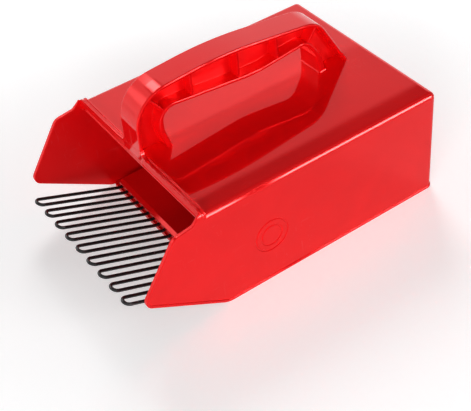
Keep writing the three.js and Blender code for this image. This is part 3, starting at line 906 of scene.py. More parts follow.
def carrying_handle():
    """Solids of the handle: two flanges, the web and the ribs between them, and the fillets at the feet."""
    handle = bpy.context.scene.rake_handle
    outer_line = rounded(handle_outer_line(), step=OUTER_FLANGE_ARC)
    inner_line = rounded(handle_inner_line(), step=INNER_FLANGE_ARC)
    outer = flange("outer flange", outer_line, [handle.flange] * len(outer_line), -1, True)
    inner = flange("inner flange", inner_line, inner_thicknesses(inner_line), 1, False)
    depth = handle.flange / 2
    space = [*offset_line(outer_line, -depth), *reversed(offset_line(inner_line, depth))]
    web = across_prism("web", space, -handle.web / 2, handle.web / 2)
    region = across_prism("rib region", space, -handle.width, handle.width)
    made = [outer, inner, web, *handle_ribs(region), *foot_fillets()]
    bpy.data.objects.remove(region)
    for part in made:
        part.data.transform(Matrix.Translation((-handle.left_offset, 0, 0)))
    return made


def front_plate():
    """Plate that carries the front leg's face down over the rim's front."""
    handle = bpy.context.scene.rake_handle
    box = bpy.context.scene.rake_box
    half = handle.width / 2
    bottom = box.roof - box.wall - box.lip_drop + PLATE_CLEAR
    top = box.roof + box.rim_raise + PLATE_RISE
    low = (-half - handle.left_offset, -PLATE_STAND, bottom)
    high = (half - handle.left_offset, PLATE_DEPTH, top)
    return softened_block("front plate", low, high, SOFT_EDGE, 2)


# Floor, comb and screws


def comb_places():
    """Places that the floor plate, the clamp bar, the hairpins and the screws share."""
    box = bpy.context.scene.rake_box
    comb = bpy.context.scene.rake_comb
    seat_height = comb.floor + comb.seat_raise
    knee = box.heel_setback - comb.knee_lead
    rise = math.atan2(comb.tip_height - seat_height, comb.tip_reach + knee)
    seat_front = knee + comb.knee_round * math.tan(rise / 2) + comb.fit_gap
    seat_back = seat_front + comb.clamp_depth
    inner_half = box.width / 2 - box.wall
    seat_half = inner_half - comb.end_gap
    pitch = 2 * seat_half / comb.tines
    hook = seat_back - comb.hook_margin
    wall_gap = comb.fit_gap + comb.screw_margin + comb.head_radius
    first_boss = seat_back + comb.boss_gap
    last_boss = box.depth - box.wall - comb.boss_gap
    floor_screws = []
    for side in (-1, 1):
        for share in BOSS_ROW_SHARES:
            setback = first_boss + (last_boss - first_boss) * share
            floor_screws.append(Vector((side * (inner_half - wall_gap), setback, 0)))
    clamp_setback = (seat_front + hook - comb.hook_round) / 2
    return {
        "seat_height": seat_height,
        "knee": knee,
        "rise": rise,
        "seat_front": seat_front,
        "seat_back": seat_back,
        "seat_half": seat_half,
        "inner_half": inner_half,
        "pitch": pitch,
        "hook": hook,
        "boss_radius": wall_gap + box.wall / 2,
        "floor_screws": floor_screws,
        "clamp_screws": [Vector((share * pitch, clamp_setback, 0)) for share in CLAMP_SCREW_PITCHES],
        "middles": [(index - (comb.tines - 1) / 2) * pitch for index in range(comb.tines)],
    }


def screw_room(length_along, place):
    """Room that a screw takes in the pieces that it holds together."""
    comb = bpy.context.scene.rake_comb
    head = comb.head_radius + SCREW_GAP
    shank = comb.shank_radius + SCREW_GAP
    end = comb.sinking + length_along
    profile = [
        (0, -OVERRUN),
        (head + SOFT_EDGE, -OVERRUN),
        (head + SOFT_EDGE, 0),
        (head, HOLE_EDGE_DEPTH),
        (head, comb.sinking + SCREW_GAP),
        (shank, comb.sinking + comb.head_height + SCREW_GAP),
        (shank, end - SCREW_POINT),
        (0, end + SCREW_GAP),
    ]
    return turned_solid("screw room", profile, SCREW_SIDES, place)


def screw_solid(name, length_along, place):
    """Countersunk screw with a cross recess, a threaded shank and a point."""
    comb = bpy.context.scene.rake_comb
    bottom = comb.sinking
    neck = bottom + comb.head_height
    end = bottom + length_along - SCREW_POINT
    profile = [(0, bottom + HEAD_DISH)]
    profile += [(comb.head_radius - inward, bottom + up) for inward, up in HEAD_EDGE]
    profile.append((comb.shank_radius, neck))
    height = neck + THREAD_PITCH
    while height + THREAD_PITCH < end:
        profile.append((comb.shank_radius, height))
        profile.append((comb.shank_radius - THREAD_DEPTH, height + THREAD_PITCH / 2))
        height += THREAD_PITCH
    profile.append((comb.shank_radius, end))
    profile.append((0, bottom + length_along))
    body = turned_solid(name, profile, SCREW_SIDES, place)
    cuts = []
    for half_x, half_y in ((CROSS_REACH, CROSS_HALF_WIDTH), (CROSS_HALF_WIDTH, CROSS_REACH)):
        low = (place.x - half_x, place.y - half_y, -OVERRUN)
        high = (place.x + half_x, place.y + half_y, bottom + CROSS_DEPTH)
        cuts.append(softened_block("cross", low, high))
    return combined(name, body, cut=cuts)


def wire_channels(places):
    """Round channels for the hairpins' legs, and slots for their hooked ends."""
    comb = bpy.context.scene.rake_comb
    half = comb.wire / 2 + comb.groove_gap
    seat = places["seat_height"]
    hook = places["hook"]
    cuts = []
    for middle in places["middles"]:
        for side in (-1, 1):
            x = middle + side * places["pitch"] / 4
            ring = [Vector((x + half * cos, seat + half * sin)) for cos, sin in circle(CHANNEL_SIDES)]
            cuts.append(along_prism("leg channel", ring, places["seat_front"] - OVERRUN, hook))
            low = (x - half, hook - comb.hook_round - half, -OVERRUN)
            high = (x + half, hook + half, seat + half)
            cuts.append(softened_block("hook slot", low, high, half * SLOT_ROUND_SHARE))
    return cuts


def floor_plate_solid(places):
    """Floor plate with the comb's seat, the wire channels and the screws' rooms."""
    box = bpy.context.scene.rake_box
    comb = bpy.context.scene.rake_comb
    back = box.depth - box.wall - comb.fit_gap
    half = places["inner_half"] - comb.fit_gap
    outline = rounded(rectangle(-half, half, box.heel_setback, back, FLOOR_ROUND), closed=True)
    plate = softened_plate("plate", outline, 0, comb.floor, FLOOR_EDGE)
    low = (-places["seat_half"], places["seat_front"], comb.floor - SEAT_ROOT)
    high = (places["seat_half"], places["seat_back"], places["seat_height"])
    seat = softened_block("seat", low, high, SOFT_EDGE, 2)
    rooms = [screw_room(comb.floor_screw, place) for place in places["floor_screws"]]
    rooms += [screw_room(comb.clamp_screw, place) for place in places["clamp_screws"]]
    whole = combined("plate and seat", plate, add=[seat])
    return combined("comb_floor", whole, cut=[*wire_channels(places), *rooms])


def clamp_bar_solid(places):
    """Clamp bar with chamfered top edges, over the wire channels and the clamp screws' rooms."""
    comb = bpy.context.scene.rake_comb
    low = places["seat_height"]
    top = low + comb.clamp_height
    front, back = places["seat_front"], places["seat_back"]
    corners = [
        corner(front, low, SOFT_EDGE),
        corner(back, low, SOFT_EDGE),
        corner(back, top - CHAMFER_DROP, CHAMFER_ROUND),
        corner(back - CHAMFER_RUN, top, CHAMFER_ROUND),
        corner(front + CHAMFER_RUN, top, CHAMFER_ROUND),
        corner(front, top - CHAMFER_DROP, CHAMFER_ROUND),
    ]
    outline = rounded(corners, closed=True, step=CLAMP_ARC)
    bar = across_prism("bar", outline, -places["seat_half"], places["seat_half"])
    rooms = [screw_room(comb.clamp_screw, place) for place in places["clamp_screws"]]
    return combined("wire_clamp", bar, cut=[*wire_channels(places), *rooms])


def hairpin_line(middle, places):
    """Centre line of a hairpin, from one hooked end round the tip to the other."""
    comb = bpy.context.scene.rake_comb
    corners = [
        corner(places["hook"], comb.wire_end),
        corner(places["hook"], places["seat_height"], comb.hook_round),
        corner(places["knee"], places["seat_height"], comb.knee_round),
        corner(-comb.tip_reach, comb.tip_height),
    ]
    side = rounded(corners, step=WIRE_ARC)[:-1]
    half = places["pitch"] / 4
    rise = Vector((-math.cos(places["rise"]), math.sin(places["rise"])))
    tip_middle = Vector((-comb.tip_reach, comb.tip_height)) - rise * half
    first = [Vector((middle - half, p.x, p.y)) for p in side]
    last = [Vector((middle + half, p.x, p.y)) for p in reversed(side)]
    tip_start = Vector((middle - half, tip_middle.x, tip_middle.y))
    run = [first[-1].lerp(tip_start, share) for share in TIP_RUN_SHARES]
    back_run = [Vector((2 * middle - p.x, p.y, p.z)) for p in reversed(run)]
    tip = []
    for cos, sin in arc(TIP_CHORDS, math.pi):
        place = tip_middle + rise * half * sin
        tip.append(Vector((middle - half * cos, place.x, place.y)))
    return [*first, *run, *tip, *back_run, *last]


def wire_solid(name, line, radius):
    """Round wire swept along a line, with domed ends."""
    rows = []
    across = Vector((1, 0, 0))
    last = len(line) - 1
    for index, place in enumerate(line):
        along = (line[min(index + 1, last)] - line[max(index - 1, 0)]).normalized()
        across = (across - along * across.dot(along)).normalized()
        up = along.cross(across)
        dome = [(0.0, 1.0)]
        if index == 0:
            dome = WIRE_DOME
        if index == last:
            dome = [(-shift, share) for shift, share in reversed(WIRE_DOME)]
        for shift, share in dome:
            middle = place + along * shift
            arms = [across * cos + up * sin for cos, sin in circle(WIRE_SIDES)]
            rows.append([middle + arm * radius * share for arm in arms])
    return solid(name, rows)


# Shader nodes


def feed(tree, value, socket):
    """Link a value to a socket, or set it there where it is a plain number, vector or colour."""
    if isinstance(value, bpy.types.NodeSocket):
        tree.links.new(value, socket)
    else:
        socket.default_value = value


def fed_node(tree, kind, values):
    """New node with some of its inputs fed, by their names."""
    node = tree.nodes.new(kind)
    for name, value in values.items():
        feed(tree, value, node.inputs[name])
    return node


def math_node(tree, operation, *values):
    """Result of a calculation with one or two values."""
    node = tree.nodes.new("ShaderNodeMath")
    node.operation = operation
    for socket, value in zip(node.inputs, values):
        feed(tree, value, socket)
    return node.outputs["Value"]


def product(tree, first, *others):
    """Product of some values."""
    for other in others:
        first = math_node(tree, "MULTIPLY", first, other)
    return first


def weighted_sum(tree, level, *terms):
    """A level plus some masks, each times its weight."""
    for mask, weight in terms:
        level = math_node(tree, "ADD", level, product(tree, mask, weight))
    return level


def axes(tree, vector):
    """The X, Y and Z of a vector, by name."""
    return fed_node(tree, "ShaderNodeSeparateXYZ", {"Vector": vector}).outputs


def vector_value(tree, operation, *vectors):
    """Number that comes from one or two vectors."""
    node = tree.nodes.new("ShaderNodeVectorMath")
    node.operation = operation
    for socket, vector in zip(node.inputs, vectors):
        feed(tree, vector, socket)
    return node.outputs["Value"]


def noise_node(tree, place, scale, detail=2.0, roughness=0.5, distortion=0.0):
    """Noise over a place, about 0 to 1."""
    values = {"Vector": place, "Scale": scale, "Detail": detail}
    values.update({"Roughness": roughness, "Distortion": distortion})
    return fed_node(tree, "ShaderNodeTexNoise", values).outputs["Fac"]


def range_node(tree, value, start, end, at_start=0.0, at_end=1.0):
    """Soft step of a value, from one level at its start to another at its end."""
    values = {"Value": value, "From Min": start, "From Max": end, "To Min": at_start, "To Max": at_end}
    node = fed_node(tree, "ShaderNodeMapRange", values)
    node.interpolation_type = "SMOOTHSTEP"
    return node.outputs["Result"]


def scaled_place(tree, place, scale):
    """A place stretched by a scale along each axis."""
    return fed_node(tree, "ShaderNodeMapping", {"Vector": place, "Scale": scale}).outputs["Vector"]


def tinted(tree, mask, first, second):
    """Colour between two, by a mask."""
    node = tree.nodes.new("ShaderNodeMix")
    node.data_type = "RGBA"
    sockets = {socket.identifier: socket for socket in node.inputs}
    for name, value in (("Factor_Float", mask), ("A_Color", first), ("B_Color", second)):
        feed(tree, value, sockets[name])
    return next(socket for socket in node.outputs if socket.identifier == "Result_Color")


def bumped(tree, height, strength, distance):
    """Normal of a surface with a relief."""
    values = {"Height": height, "Strength": strength, "Distance": distance}
    return fed_node(tree, "ShaderNodeBump", values).outputs["Normal"]


def opaque(tint, share=1.0, lift=0.0):
    """A tint times a share plus a lift, as an opaque colour."""
    return [min(1, channel * share + lift) for channel in tint] + [1]


def group_with(name, inputs, outputs):
    """Node group with inputs by name and default, and outputs by name; gives its tree and inner sockets."""
    tree = bpy.data.node_groups.new(name, "ShaderNodeTree")
    for socket, default in inputs.items():
        kind = "NodeSocketVector" if isinstance(default, tuple) else "NodeSocketFloat"
        made = tree.interface.new_socket(name=socket, in_out="INPUT", socket_type=kind)
        made.default_value = default
    for socket in outputs:
        tree.interface.new_socket(name=socket, in_out="OUTPUT", socket_type="NodeSocketFloat")
    given = tree.nodes.new("NodeGroupInput").outputs
    return tree, given, tree.nodes.new("NodeGroupOutput").inputs


def moulded_relief_group(name):
    """Relief of a moulding: slow sink waves and a fine peel, as one height."""
    tree, given, result = group_with(name, {"Place": (0, 0, 0), "Wave": 1.0, "Peel": 1.0}, ["Height"])
    waves = noise_node(tree, given["Place"], scale=38, detail=1.0)
    peel = noise_node(tree, given["Place"], scale=900)
    height = weighted_sum(tree, product(tree, waves, given["Wave"]), (peel, given["Peel"]))
    tree.links.new(height, result["Height"])
    return tree


def handling_wear_group(name):
    """Fine scratches and faint smears of handling, as two masks."""
    tree, given, result = group_with(name, {"Place": (0, 0, 0), "Amount": 1.0}, ["Scratches", "Smears"])
    place, amount = given["Place"], given["Amount"]
    most = 0
    for scale in SCRATCH_SCALES:
        streak = noise_node(tree, scaled_place(tree, place, scale), scale=1.0, detail=1.0, distortion=0.6)
        most = math_node(tree, "MAXIMUM", most, range_node(tree, streak, start=0.69, end=0.73))
    patches = range_node(tree, noise_node(tree, place, scale=24), start=0.5, end=0.72)
    clouds = noise_node(tree, place, scale=15, detail=5.0, roughness=0.55, distortion=0.8)
    tree.links.new(product(tree, most, patches, amount), result["Scratches"])
    tree.links.new(product(tree, range_node(tree, clouds, start=0.42, end=0.78), amount), result["Smears"])
    return tree


def settled_dust_group(name):
    """Dust on surfaces that face up, in soft speckles, as a mask."""
    inputs = {"Place": (0, 0, 0), "Normal": (0, 0, 1), "Amount": 1.0}
    tree, given, result = group_with(name, inputs, ["Mask"])
    facing = range_node(tree, axes(tree, given["Normal"])["Z"], start=0.35, end=1.0)
    grains = noise_node(tree, given["Place"], scale=2600, detail=3.0)
    speckles = range_node(tree, grains, start=0.63, end=0.8)
    clouds = noise_node(tree, given["Place"], scale=30, detail=3.0)
    drifts = range_node(tree, clouds, start=0.35, end=0.75, at_start=0.15)
    tree.links.new(product(tree, facing, speckles, drifts, given["Amount"]), result["Mask"])
    return tree


def block_group(name):
    """1 inside a block with upright sides, given by its low and its high corner."""
    inputs = {"Place": (0, 0, 0), "Low Corner": (0, 0, 0), "High Corner": (1, 1, 1)}
    tree, given, result = group_with(name, inputs, ["Mask"])
    place, low, high = (axes(tree, given[socket]) for socket in inputs)
    tests = []
    for axis in "XYZ":
        tests.append(math_node(tree, "GREATER_THAN", place[axis], low[axis]))
        tests.append(math_node(tree, "LESS_THAN", place[axis], high[axis]))
    tree.links.new(product(tree, *tests), result["Mask"])
    return tree


def web_face_group(name):
    """1 on the faces of the handle's web between its flanges, which came from a satin part of the mould."""
    inputs = {"Place": (0, 0, 0), "Normal": (0, 0, 1), "Middle": 0.0, "Reach": 1.0, "Roof": 0.0}
    tree, given, result = group_with(name, inputs, ["Mask"])
    place = axes(tree, given["Place"])
    aside = math_node(tree, "ABSOLUTE", math_node(tree, "SUBTRACT", place["X"], given["Middle"]))
    near = math_node(tree, "LESS_THAN", aside, given["Reach"])
    above = math_node(tree, "GREATER_THAN", place["Z"], given["Roof"])
    facing = math_node(tree, "ABSOLUTE", axes(tree, given["Normal"])["X"])
    sideways = range_node(tree, facing, start=0.6, end=0.9)
    tree.links.new(product(tree, near, above, sideways), result["Mask"])
    return tree


NODE_GROUPS = {
    "Moulded relief": moulded_relief_group,
    "Handling wear": handling_wear_group,
    "Settled dust": settled_dust_group,
    "Block": block_group,
    "Web face": web_face_group,
}


def placed_group(tree, name, values):
    """Outputs of a shared node group, built when it is first wanted and placed with its own values."""
    node = tree.nodes.new("ShaderNodeGroup")
    node.node_tree = bpy.data.node_groups.get(name) or NODE_GROUPS[name](name)
    for socket, value in values.items():
        feed(tree, value, node.inputs[socket])
    return node.outputs


# Materials


def new_material(name):
    """Material with a plain shader; gives also its tree, the shader's inputs and the object's own places."""
    material = bpy.data.materials.new(name)
    material.use_nodes = True
    tree = material.node_tree
    tree.nodes.clear()
    output = tree.nodes.new("ShaderNodeOutputMaterial")
    shader = tree.nodes.new("ShaderNodeBsdfPrincipled")
    tree.links.new(shader.outputs["BSDF"], output.inputs["Surface"])
    place = tree.nodes.new("ShaderNodeTexCoord").outputs["Object"]
    return material, tree, shader.inputs, place


def moulded_plastic(name, tint, gloss, wear, peel, satin_blocks=(), web=None):
    """Glossy moulded plastic: deep colour with faint flow marks, fine scratches, smears and a little dust."""
    material, tree, shader, place = new_material(name)
    normal = tree.nodes.new("ShaderNodeNewGeometry").outputs["Normal"]
    relief = placed_group(tree, "Moulded relief", {"Place": place, "Wave": 0.03, "Peel": peel})["Height"]
    marks = placed_group(tree, "Handling wear", {"Place": place, "Amount": wear})
    scratches, smears = marks["Scratches"], marks["Smears"]
    dusting = {"Place": place, "Normal": normal, "Amount": DUST_SHARE * wear}
    dust = placed_group(tree, "Settled dust", dusting)["Mask"]
    currents = noise_node(tree, place, scale=17, detail=3.0, distortion=1.4)
    flow = range_node(tree, currents, start=0.3, end=0.7)
    plain = tinted(tree, flow, opaque(tint, share=0.94), opaque(tint))
    scuffed = tinted(tree, product(tree, scratches, 0.12), plain, opaque(tint, share=0.6, lift=0.34))
    tree.links.new(tinted(tree, dust, scuffed, DUST_COLOUR), shader["Base Color"])
    satin = 0
    for low, high in satin_blocks:
        block = placed_group(tree, "Block", {"Place": place, "Low Corner": low, "High Corner": high})
        satin = math_node(tree, "MAXIMUM", satin, block["Mask"])
    if web:
        face = placed_group(tree, "Web face", {"Place": place, "Normal": normal, **web})
        satin = math_node(tree, "MAXIMUM", satin, face["Mask"])
    rough = weighted_sum(tree, gloss, (smears, 0.05), (scratches, 0.18), (dust, 0.5), (satin, 0.28))
    tree.links.new(rough, shader["Roughness"])
    height = weighted_sum(tree, relief, (scratches, -0.02))
    tree.links.new(bumped(tree, height, strength=1.0, distance=RELIEF_DEPTH), shader["Normal"])
    shader["IOR"].default_value = PLASTIC_IOR
    shader["Specular Tint"].default_value = PLASTIC_MIRROR_TINT
    return material


def coated_wire(name, tint):
    """Satin coating over wire: fine pebbled skin, rubbed brighter in soft patches."""
    material, tree, shader, place = new_material(name)
    relief = placed_group(tree, "Moulded relief", {"Place": place, "Wave": 0.1, "Peel": 0.07})["Height"]
    marks = placed_group(tree, "Handling wear", {"Place": place, "Amount": 1.0})
    rubbed = tinted(tree, marks["Smears"], opaque(tint), opaque(tint, lift=0.02))
    tree.links.new(rubbed, shader["Base Color"])
    rough = weighted_sum(tree, 0.33, (marks["Smears"], -0.08), (marks["Scratches"], 0.15))
    tree.links.new(rough, shader["Roughness"])
    tree.links.new(bumped(tree, relief, strength=0.8, distance=RELIEF_DEPTH), shader["Normal"])
    shader["IOR"].default_value = COATING_IOR
    return material


def screw_metal(name, tint):
    """Bright plated steel, slightly clouded and scored round the recess."""
    material, tree, shader, place = new_material(name)
    marks = placed_group(tree, "Handling wear", {"Place": place, "Amount": 1.0})
    clouds = range_node(tree, noise_node(tree, place, scale=600, detail=3.0), start=0.3, end=0.75)
    tree.links.new(tinted(tree, clouds, opaque(tint), opaque(tint, share=0.62)), shader["Base Color"])
    rough = weighted_sum(tree, 0.22, (clouds, 0.2), (marks["Scratches"], 0.25))
    tree.links.new(rough, shader["Roughness"])
    turning = noise_node(tree, scaled_place(tree, place, TURNING_SCALE), scale=1.0)
    tree.links.new(bumped(tree, turning, strength=0.25, distance=TURNING_DEPTH), shader["Normal"])
    shader["Metallic"].default_value = 1
    return material


def ground_material(tint):
    """Pale studio ground that keeps the object's shadow and reads as white to the camera. Its glow is weaker
    round the object, a painted shade that deepens its shadow there, and stronger far off, painted light that
    evens out the lamps' fall-off.
    """
    material, tree, shader, place = new_material("Studio ground")
    paper = noise_node(tree, place, scale=60, detail=3.0)
    tree.links.new(tinted(tree, paper, opaque(tint), opaque(tint, share=0.985)), shader["Base Color"])
    shader["Roughness"].default_value = 0.75
    shader["Specular IOR Level"].default_value = 0.1
    shader["Emission Color"].default_value = (1, 1, 1, 1)
    # Painted shade and light: the glow that camera and gloss rays see grows with the distance from the
    # object's middle, so the floor next to the object stays darker.
    spread = vector_value(tree, "LENGTH", place)
    near = range_node(tree, spread, start=0.13, end=0.42, at_start=0.40, at_end=0.68)
    far = range_node(tree, spread, start=0.6, end=2.2, at_start=0, at_end=0.45)
    path = tree.nodes.new("ShaderNodeLightPath").outputs
    seen = math_node(tree, "ADD", path["Is Camera Ray"], path["Is Glossy Ray"])
    tree.links.new(product(tree, seen, math_node(tree, "ADD", near, far)), shader["Emission Strength"])
    return material


# Studio


def panel_mask(tree, direction, across, up):
    """1 for directions to the right whose y and z lie between two limits each, with narrow soft edges."""
    mask = range_node(tree, direction["X"], start=0.2, end=0.3)
    for axis, (low, high) in (("Y", across), ("Z", up)):
        opens = range_node(tree, direction[axis], low - PANEL_SOFTNESS, low + PANEL_SOFTNESS)
        shuts = range_node(tree, direction[axis], high + PANEL_SOFTNESS, high - PANEL_SOFTNESS)
        mask = product(tree, mask, opens, shuts)
    return mask


def spot_mask(tree, direction, aim, inner, outer):
    """1 within an inner angle of a direction, fading to 0 at an outer angle, both in degrees."""
    nearness = vector_value(tree, "DOT_PRODUCT", direction, Vector(aim).normalized())
    return range_node(tree, nearness, math.cos(math.radians(outer)), math.cos(math.radians(inner)))


def mirrored_studio(tree):
    """What the gloss mirrors, by direction: bright wall behind, ceiling bands, panels and two soft spots."""
    looking = tree.nodes.new("ShaderNodeTexCoord").outputs["Generated"]
    direction = axes(tree, looking)
    to_left = math_node(tree, "MAXIMUM", product(tree, direction["X"], -1), LEAST_LEFTWARD)
    slope = math_node(tree, "DIVIDE", direction["Z"], to_left)
    wall = range_node(tree, slope, start=0.881, end=0.888, at_start=1.58, at_end=1.0)
    ceiling = range_node(tree, slope, start=1.008, end=1.022, at_start=0, at_end=-0.75)
    right = range_node(tree, direction["X"], start=-0.05, end=0.35, at_start=0, at_end=0.42)
    light = math_node(tree, "ADD", math_node(tree, "ADD", wall, ceiling), right)
    faded = range_node(tree, direction["X"], start=-0.75, end=-0.726, at_start=0.1)
    crown_spot = product(tree, spot_mask(tree, looking, (-0.73, 0.0, 0.67), inner=2, outer=12), faded)
    return weighted_sum(
        tree,
        light,
        (panel_mask(tree, direction, across=(0.3, 0.38), up=(0.13, 0.5)), 30),
        (panel_mask(tree, direction, across=(0.418, 0.58), up=(0.13, 0.5)), 30),
        (spot_mask(tree, looking, (-0.63, -0.6, 0.48), inner=4, outer=15), 1.6),
        (crown_spot, 9),
    )


def studio_world(level):
    """Even dome that the camera sees as white and that gloss sees as the mirrored studio."""
    world = bpy.data.worlds.new("Studio dome")
    world.use_nodes = True
    tree = world.node_tree
    dome = tree.nodes["Background"].inputs
    dome["Color"].default_value = (1, 1, 1, 1)
    path = tree.nodes.new("ShaderNodeLightPath").outputs
    mirrored = math_node(tree, "SUBTRACT", mirrored_studio(tree), level)
    glossy = product(tree, path["Is Glossy Ray"], mirrored)
    seen = weighted_sum(tree, glossy, (path["Is Camera Ray"], 1 - level))
    tree.links.new(math_node(tree, "ADD", seen, level), dome["Strength"])
    bpy.context.scene.world = world


def area_light(name, place, side, watts):
    """Square panel that lights the box and that no gloss mirrors."""
    lamp = bpy.data.lights.new(name, "AREA")
    lamp.shape = "RECTANGLE"
    lamp.size = side
    lamp.size_y = side
    lamp.energy = watts
    made = linked_object(name, lamp)
    made.visible_glossy = False
    made.location = place
    made.rotation_euler = (Vector(LAMP_AIM) - Vector(place)).to_track_quat("-Z", "Y").to_euler()


def studio_camera(shift):
    """Camera at the picture's angle, from its place and directions over the mouth's frame."""
    turn, tip, roll = (math.radians(degrees) for degrees in CAMERA_ANGLES)
    look = Vector((-math.sin(turn) * math.cos(tip), math.cos(turn) * math.cos(tip), -math.sin(tip)))
    right = Vector((math.cos(turn), math.sin(turn), 0))
    up = right.cross(look)
    rolled_right = right * math.cos(roll) + up * math.sin(roll)
    rolled_up = up * math.cos(roll) - right * math.sin(roll)
    across, above, ahead = CAMERA_TO_MOUTH
    spot = -(rolled_right * across + rolled_up * above + look * ahead)
    lens = bpy.data.cameras.new("Studio camera")
    lens.sensor_width = SENSOR_WIDTH
    lens.lens = PICTURE_FOCUS / PICTURE_WIDTH * SENSOR_WIDTH
    lens.clip_start = NEAREST_SEEN
    made = linked_object("Studio camera", lens)
    turned = Matrix((rolled_right, rolled_up, -look)).transposed().to_4x4()
    made.matrix_world = Matrix.Translation(spot + Vector((0, shift, 0))) @ turned
    bpy.context.scene.camera = made


# Operators


class RAKE_OT_scoop(bpy.types.Operator):
    """Build the scoop box with its rim, edge bead, medallions, screw bosses and carrying handle."""

    bl_idname = "rake.scoop"
    bl_label = "Scoop Box"

    def execute(self, context):
        box = context.scene.rake_box
        places = comb_places()
        rim_top = box.roof + box.rim_raise
        rim_round = box.edge_round + box.rim_raise / 2
        inner_round = box.edge_round - box.wall
        walls = edge_block("walls", 0, box.roof, box.edge_round)
        cheeks = edge_block("cheeks", 0, rim_top - HIDDEN_STEP, rim_round, CHEEK_END)
        outside = combined("outside", walls, add=[cheeks], keep=[side_prism("edge cut", BEAD_COVER)])
        cavity = edge_block("cavity", box.wall, box.roof - box.wall, inner_round)
        mouth = edge_block("mouth", box.wall, rim_top + OVERRUN, inner_round, 0)
        hollow = combined("hollow", outside, add=carrying_handle(), cut=[cavity, mouth])
        added = [edge_bead(), mouth_rim(), front_plate(), *screw_bosses(places)]
        cuts = [screw_room(context.scene.rake_comb.floor_screw, place) for place in places["floor_screws"]]
        for side in (-1, 1):
            for radius in (box.medallion_radius, box.medallion_inner_radius):
                cuts.append(medallion_cut(side, radius))
        made = combined("scoop_box", hollow, add=added, cut=cuts)
        settled(made, self.plastic(context), ["body_shell"])
        return {"FINISHED"}

    def plastic(self, context):
        """Polished plastic that is satin inside the box, on the rim's front face and on the handle's web."""
        box = context.scene.rake_box
        handle = context.scene.rake_handle
        inside = box.width / 2 - box.wall / 2
        rim_back = mouth_place() + RIM_SATIN_DEPTH
        rim_high = box.roof + box.rim_raise - RIM_SATIN_DROP
        clear = handle.width / 2 + RIM_SATIN_CLEAR
        blocks = [
            ((-inside, -FAR, -FAR), (inside, FAR, box.roof - box.wall / 2)),
            ((-inside, -FAR, 0), (-handle.left_offset - clear, rim_back, rim_high)),
            ((-handle.left_offset + clear, -FAR, 0), (inside, rim_back, rim_high)),
        ]
        web = {"Middle": -handle.left_offset, "Reach": handle.web / 2 + handle.web_fillet, "Roof": box.roof}
        tint = context.scene.rake_finishes.scoop
        return moulded_plastic(
            "Scoop plastic", tint, gloss=0.018, wear=0.45, peel=0.003, satin_blocks=blocks, web=web
        )


class RAKE_OT_floor(bpy.types.Operator):
    """Build the floor plate with the comb's seat, the wire channels and the countersunk screw holes."""

    bl_idname = "rake.floor"
    bl_label = "Floor Plate"

    def execute(self, context):
        tint = context.scene.rake_finishes.inner
        material = moulded_plastic("Floor plastic", tint, gloss=0.16, wear=1.2, peel=0.012)
        settled(floor_plate_solid(comb_places()), material, ["floor_plate"])
        return {"FINISHED"}


class RAKE_OT_clamp(bpy.types.Operator):
    """Build the bar that clamps the hairpins' legs to the floor."""

    bl_idname = "rake.clamp"
    bl_label = "Clamp Bar"

    def execute(self, context):
        tint = context.scene.rake_finishes.inner
        material = moulded_plastic("Clamp plastic", tint, gloss=0.12, wear=1.0, peel=0.012)
        settled(clamp_bar_solid(comb_places()), material, ["comb_clamp_bar"])
        return {"FINISHED"}


class RAKE_OT_hairpins(bpy.types.Operator):
    """Build the comb's hairpins of coated wire."""

    bl_idname = "rake.hairpins"
    bl_label = "Wire Hairpins"

    def execute(self, context):
        places = comb_places()
        radius = context.scene.rake_comb.wire / 2
        material = coated_wire("Wire coating", context.scene.rake_finishes.coating)
        for number, middle in enumerate(places["middles"], 1):
            made = wire_solid(f"hairpin_{number}", hairpin_line(middle, places), radius)
            settled(made, material, [f"tine_{number}"], WIRE_SHARP_TURN)
        return {"FINISHED"}


class RAKE_OT_screws(bpy.types.Operator):
    """Build the screws that hold the clamp bar and the floor plate."""

    bl_idname = "rake.screws"
    bl_label = "Screws"

    def execute(self, context):
        places = comb_places()
        comb = context.scene.rake_comb
        material = screw_metal("Screw steel", context.scene.rake_finishes.steel)
        for kind, length_along in (("clamp", comb.clamp_screw), ("floor", comb.floor_screw)):
            for number, place in enumerate(places[f"{kind}_screws"], 1):
                made = screw_solid(f"{kind}_fastener_{number}", length_along, place)
                settled(made, material, [f"{kind}_screw_{number}"])
        return {"FINISHED"}


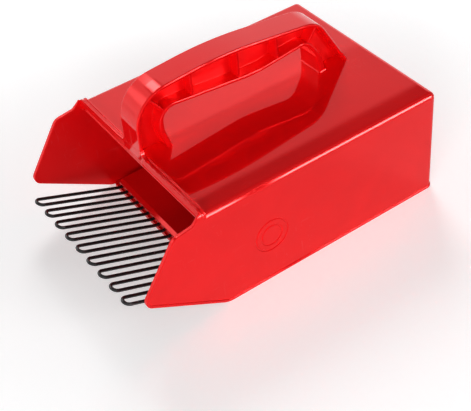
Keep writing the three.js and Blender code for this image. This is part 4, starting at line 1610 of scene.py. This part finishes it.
class RAKE_OT_stage(bpy.types.Operator):
    """Build the studio: pale ground, dome, soft panels and the camera."""

    bl_idname = "rake.stage"
    bl_label = "Studio"

    def execute(self, context):
        finishes = context.scene.rake_finishes
        sheet = bmesh.new()
        bmesh.ops.create_grid(sheet, x_segments=4, y_segments=4, size=GROUND_REACH)
        ground = finished_object("studio_ground", sheet)
        ground.data.materials.append(ground_material(finishes.ground))
        studio_world(finishes.dome)
        for name, place, side, finish in LAMPS:
            area_light(name, place, side, getattr(finishes, finish))
        studio_camera(mouth_place())
        context.scene.view_settings.view_transform = "Standard"
        return {"FINISHED"}


class RAKE_PT_panel(bpy.types.Panel):
    """Lists the sizes, the finishes and the pieces."""

    bl_idname = "RAKE_PT_panel"
    bl_label = "Berry Rake"
    bl_space_type = "VIEW_3D"
    bl_region_type = "UI"
    bl_category = "Berry Rake"

    def draw(self, context):
        for name in GROUPS:
            group = getattr(context.scene, name)
            section = self.layout.box()
            for prop in group.__annotations__:
                section.prop(group, prop)
        for operator in OPERATORS:
            self.layout.operator(operator.bl_idname)


GROUPS = {
    "rake_box": RakeBoxSizes,
    "rake_handle": RakeHandleSizes,
    "rake_comb": RakeCombSizes,
    "rake_finishes": RakeFinishes,
}
OPERATORS = (RAKE_OT_stage, RAKE_OT_scoop, RAKE_OT_floor, RAKE_OT_clamp, RAKE_OT_hairpins, RAKE_OT_screws)
CLASSES = (*GROUPS.values(), *OPERATORS, RAKE_PT_panel)


def register():
    """Register the classes and give the scene its sizes and finishes."""
    for made in CLASSES:
        bpy.utils.register_class(made)
    for name, group in GROUPS.items():
        setattr(bpy.types.Scene, name, PointerProperty(type=group))


def unregister():
    """Take away what register() added."""
    for name in GROUPS:
        delattr(bpy.types.Scene, name)
    for made in reversed(CLASSES):
        bpy.utils.unregister_class(made)


def main():
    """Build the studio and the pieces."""
    register()
    bpy.ops.rake.stage()
    bpy.ops.rake.scoop()
    bpy.ops.rake.floor()
    bpy.ops.rake.clamp()
    bpy.ops.rake.hairpins()
    bpy.ops.rake.screws()


if __name__ == "__main__":
    main()
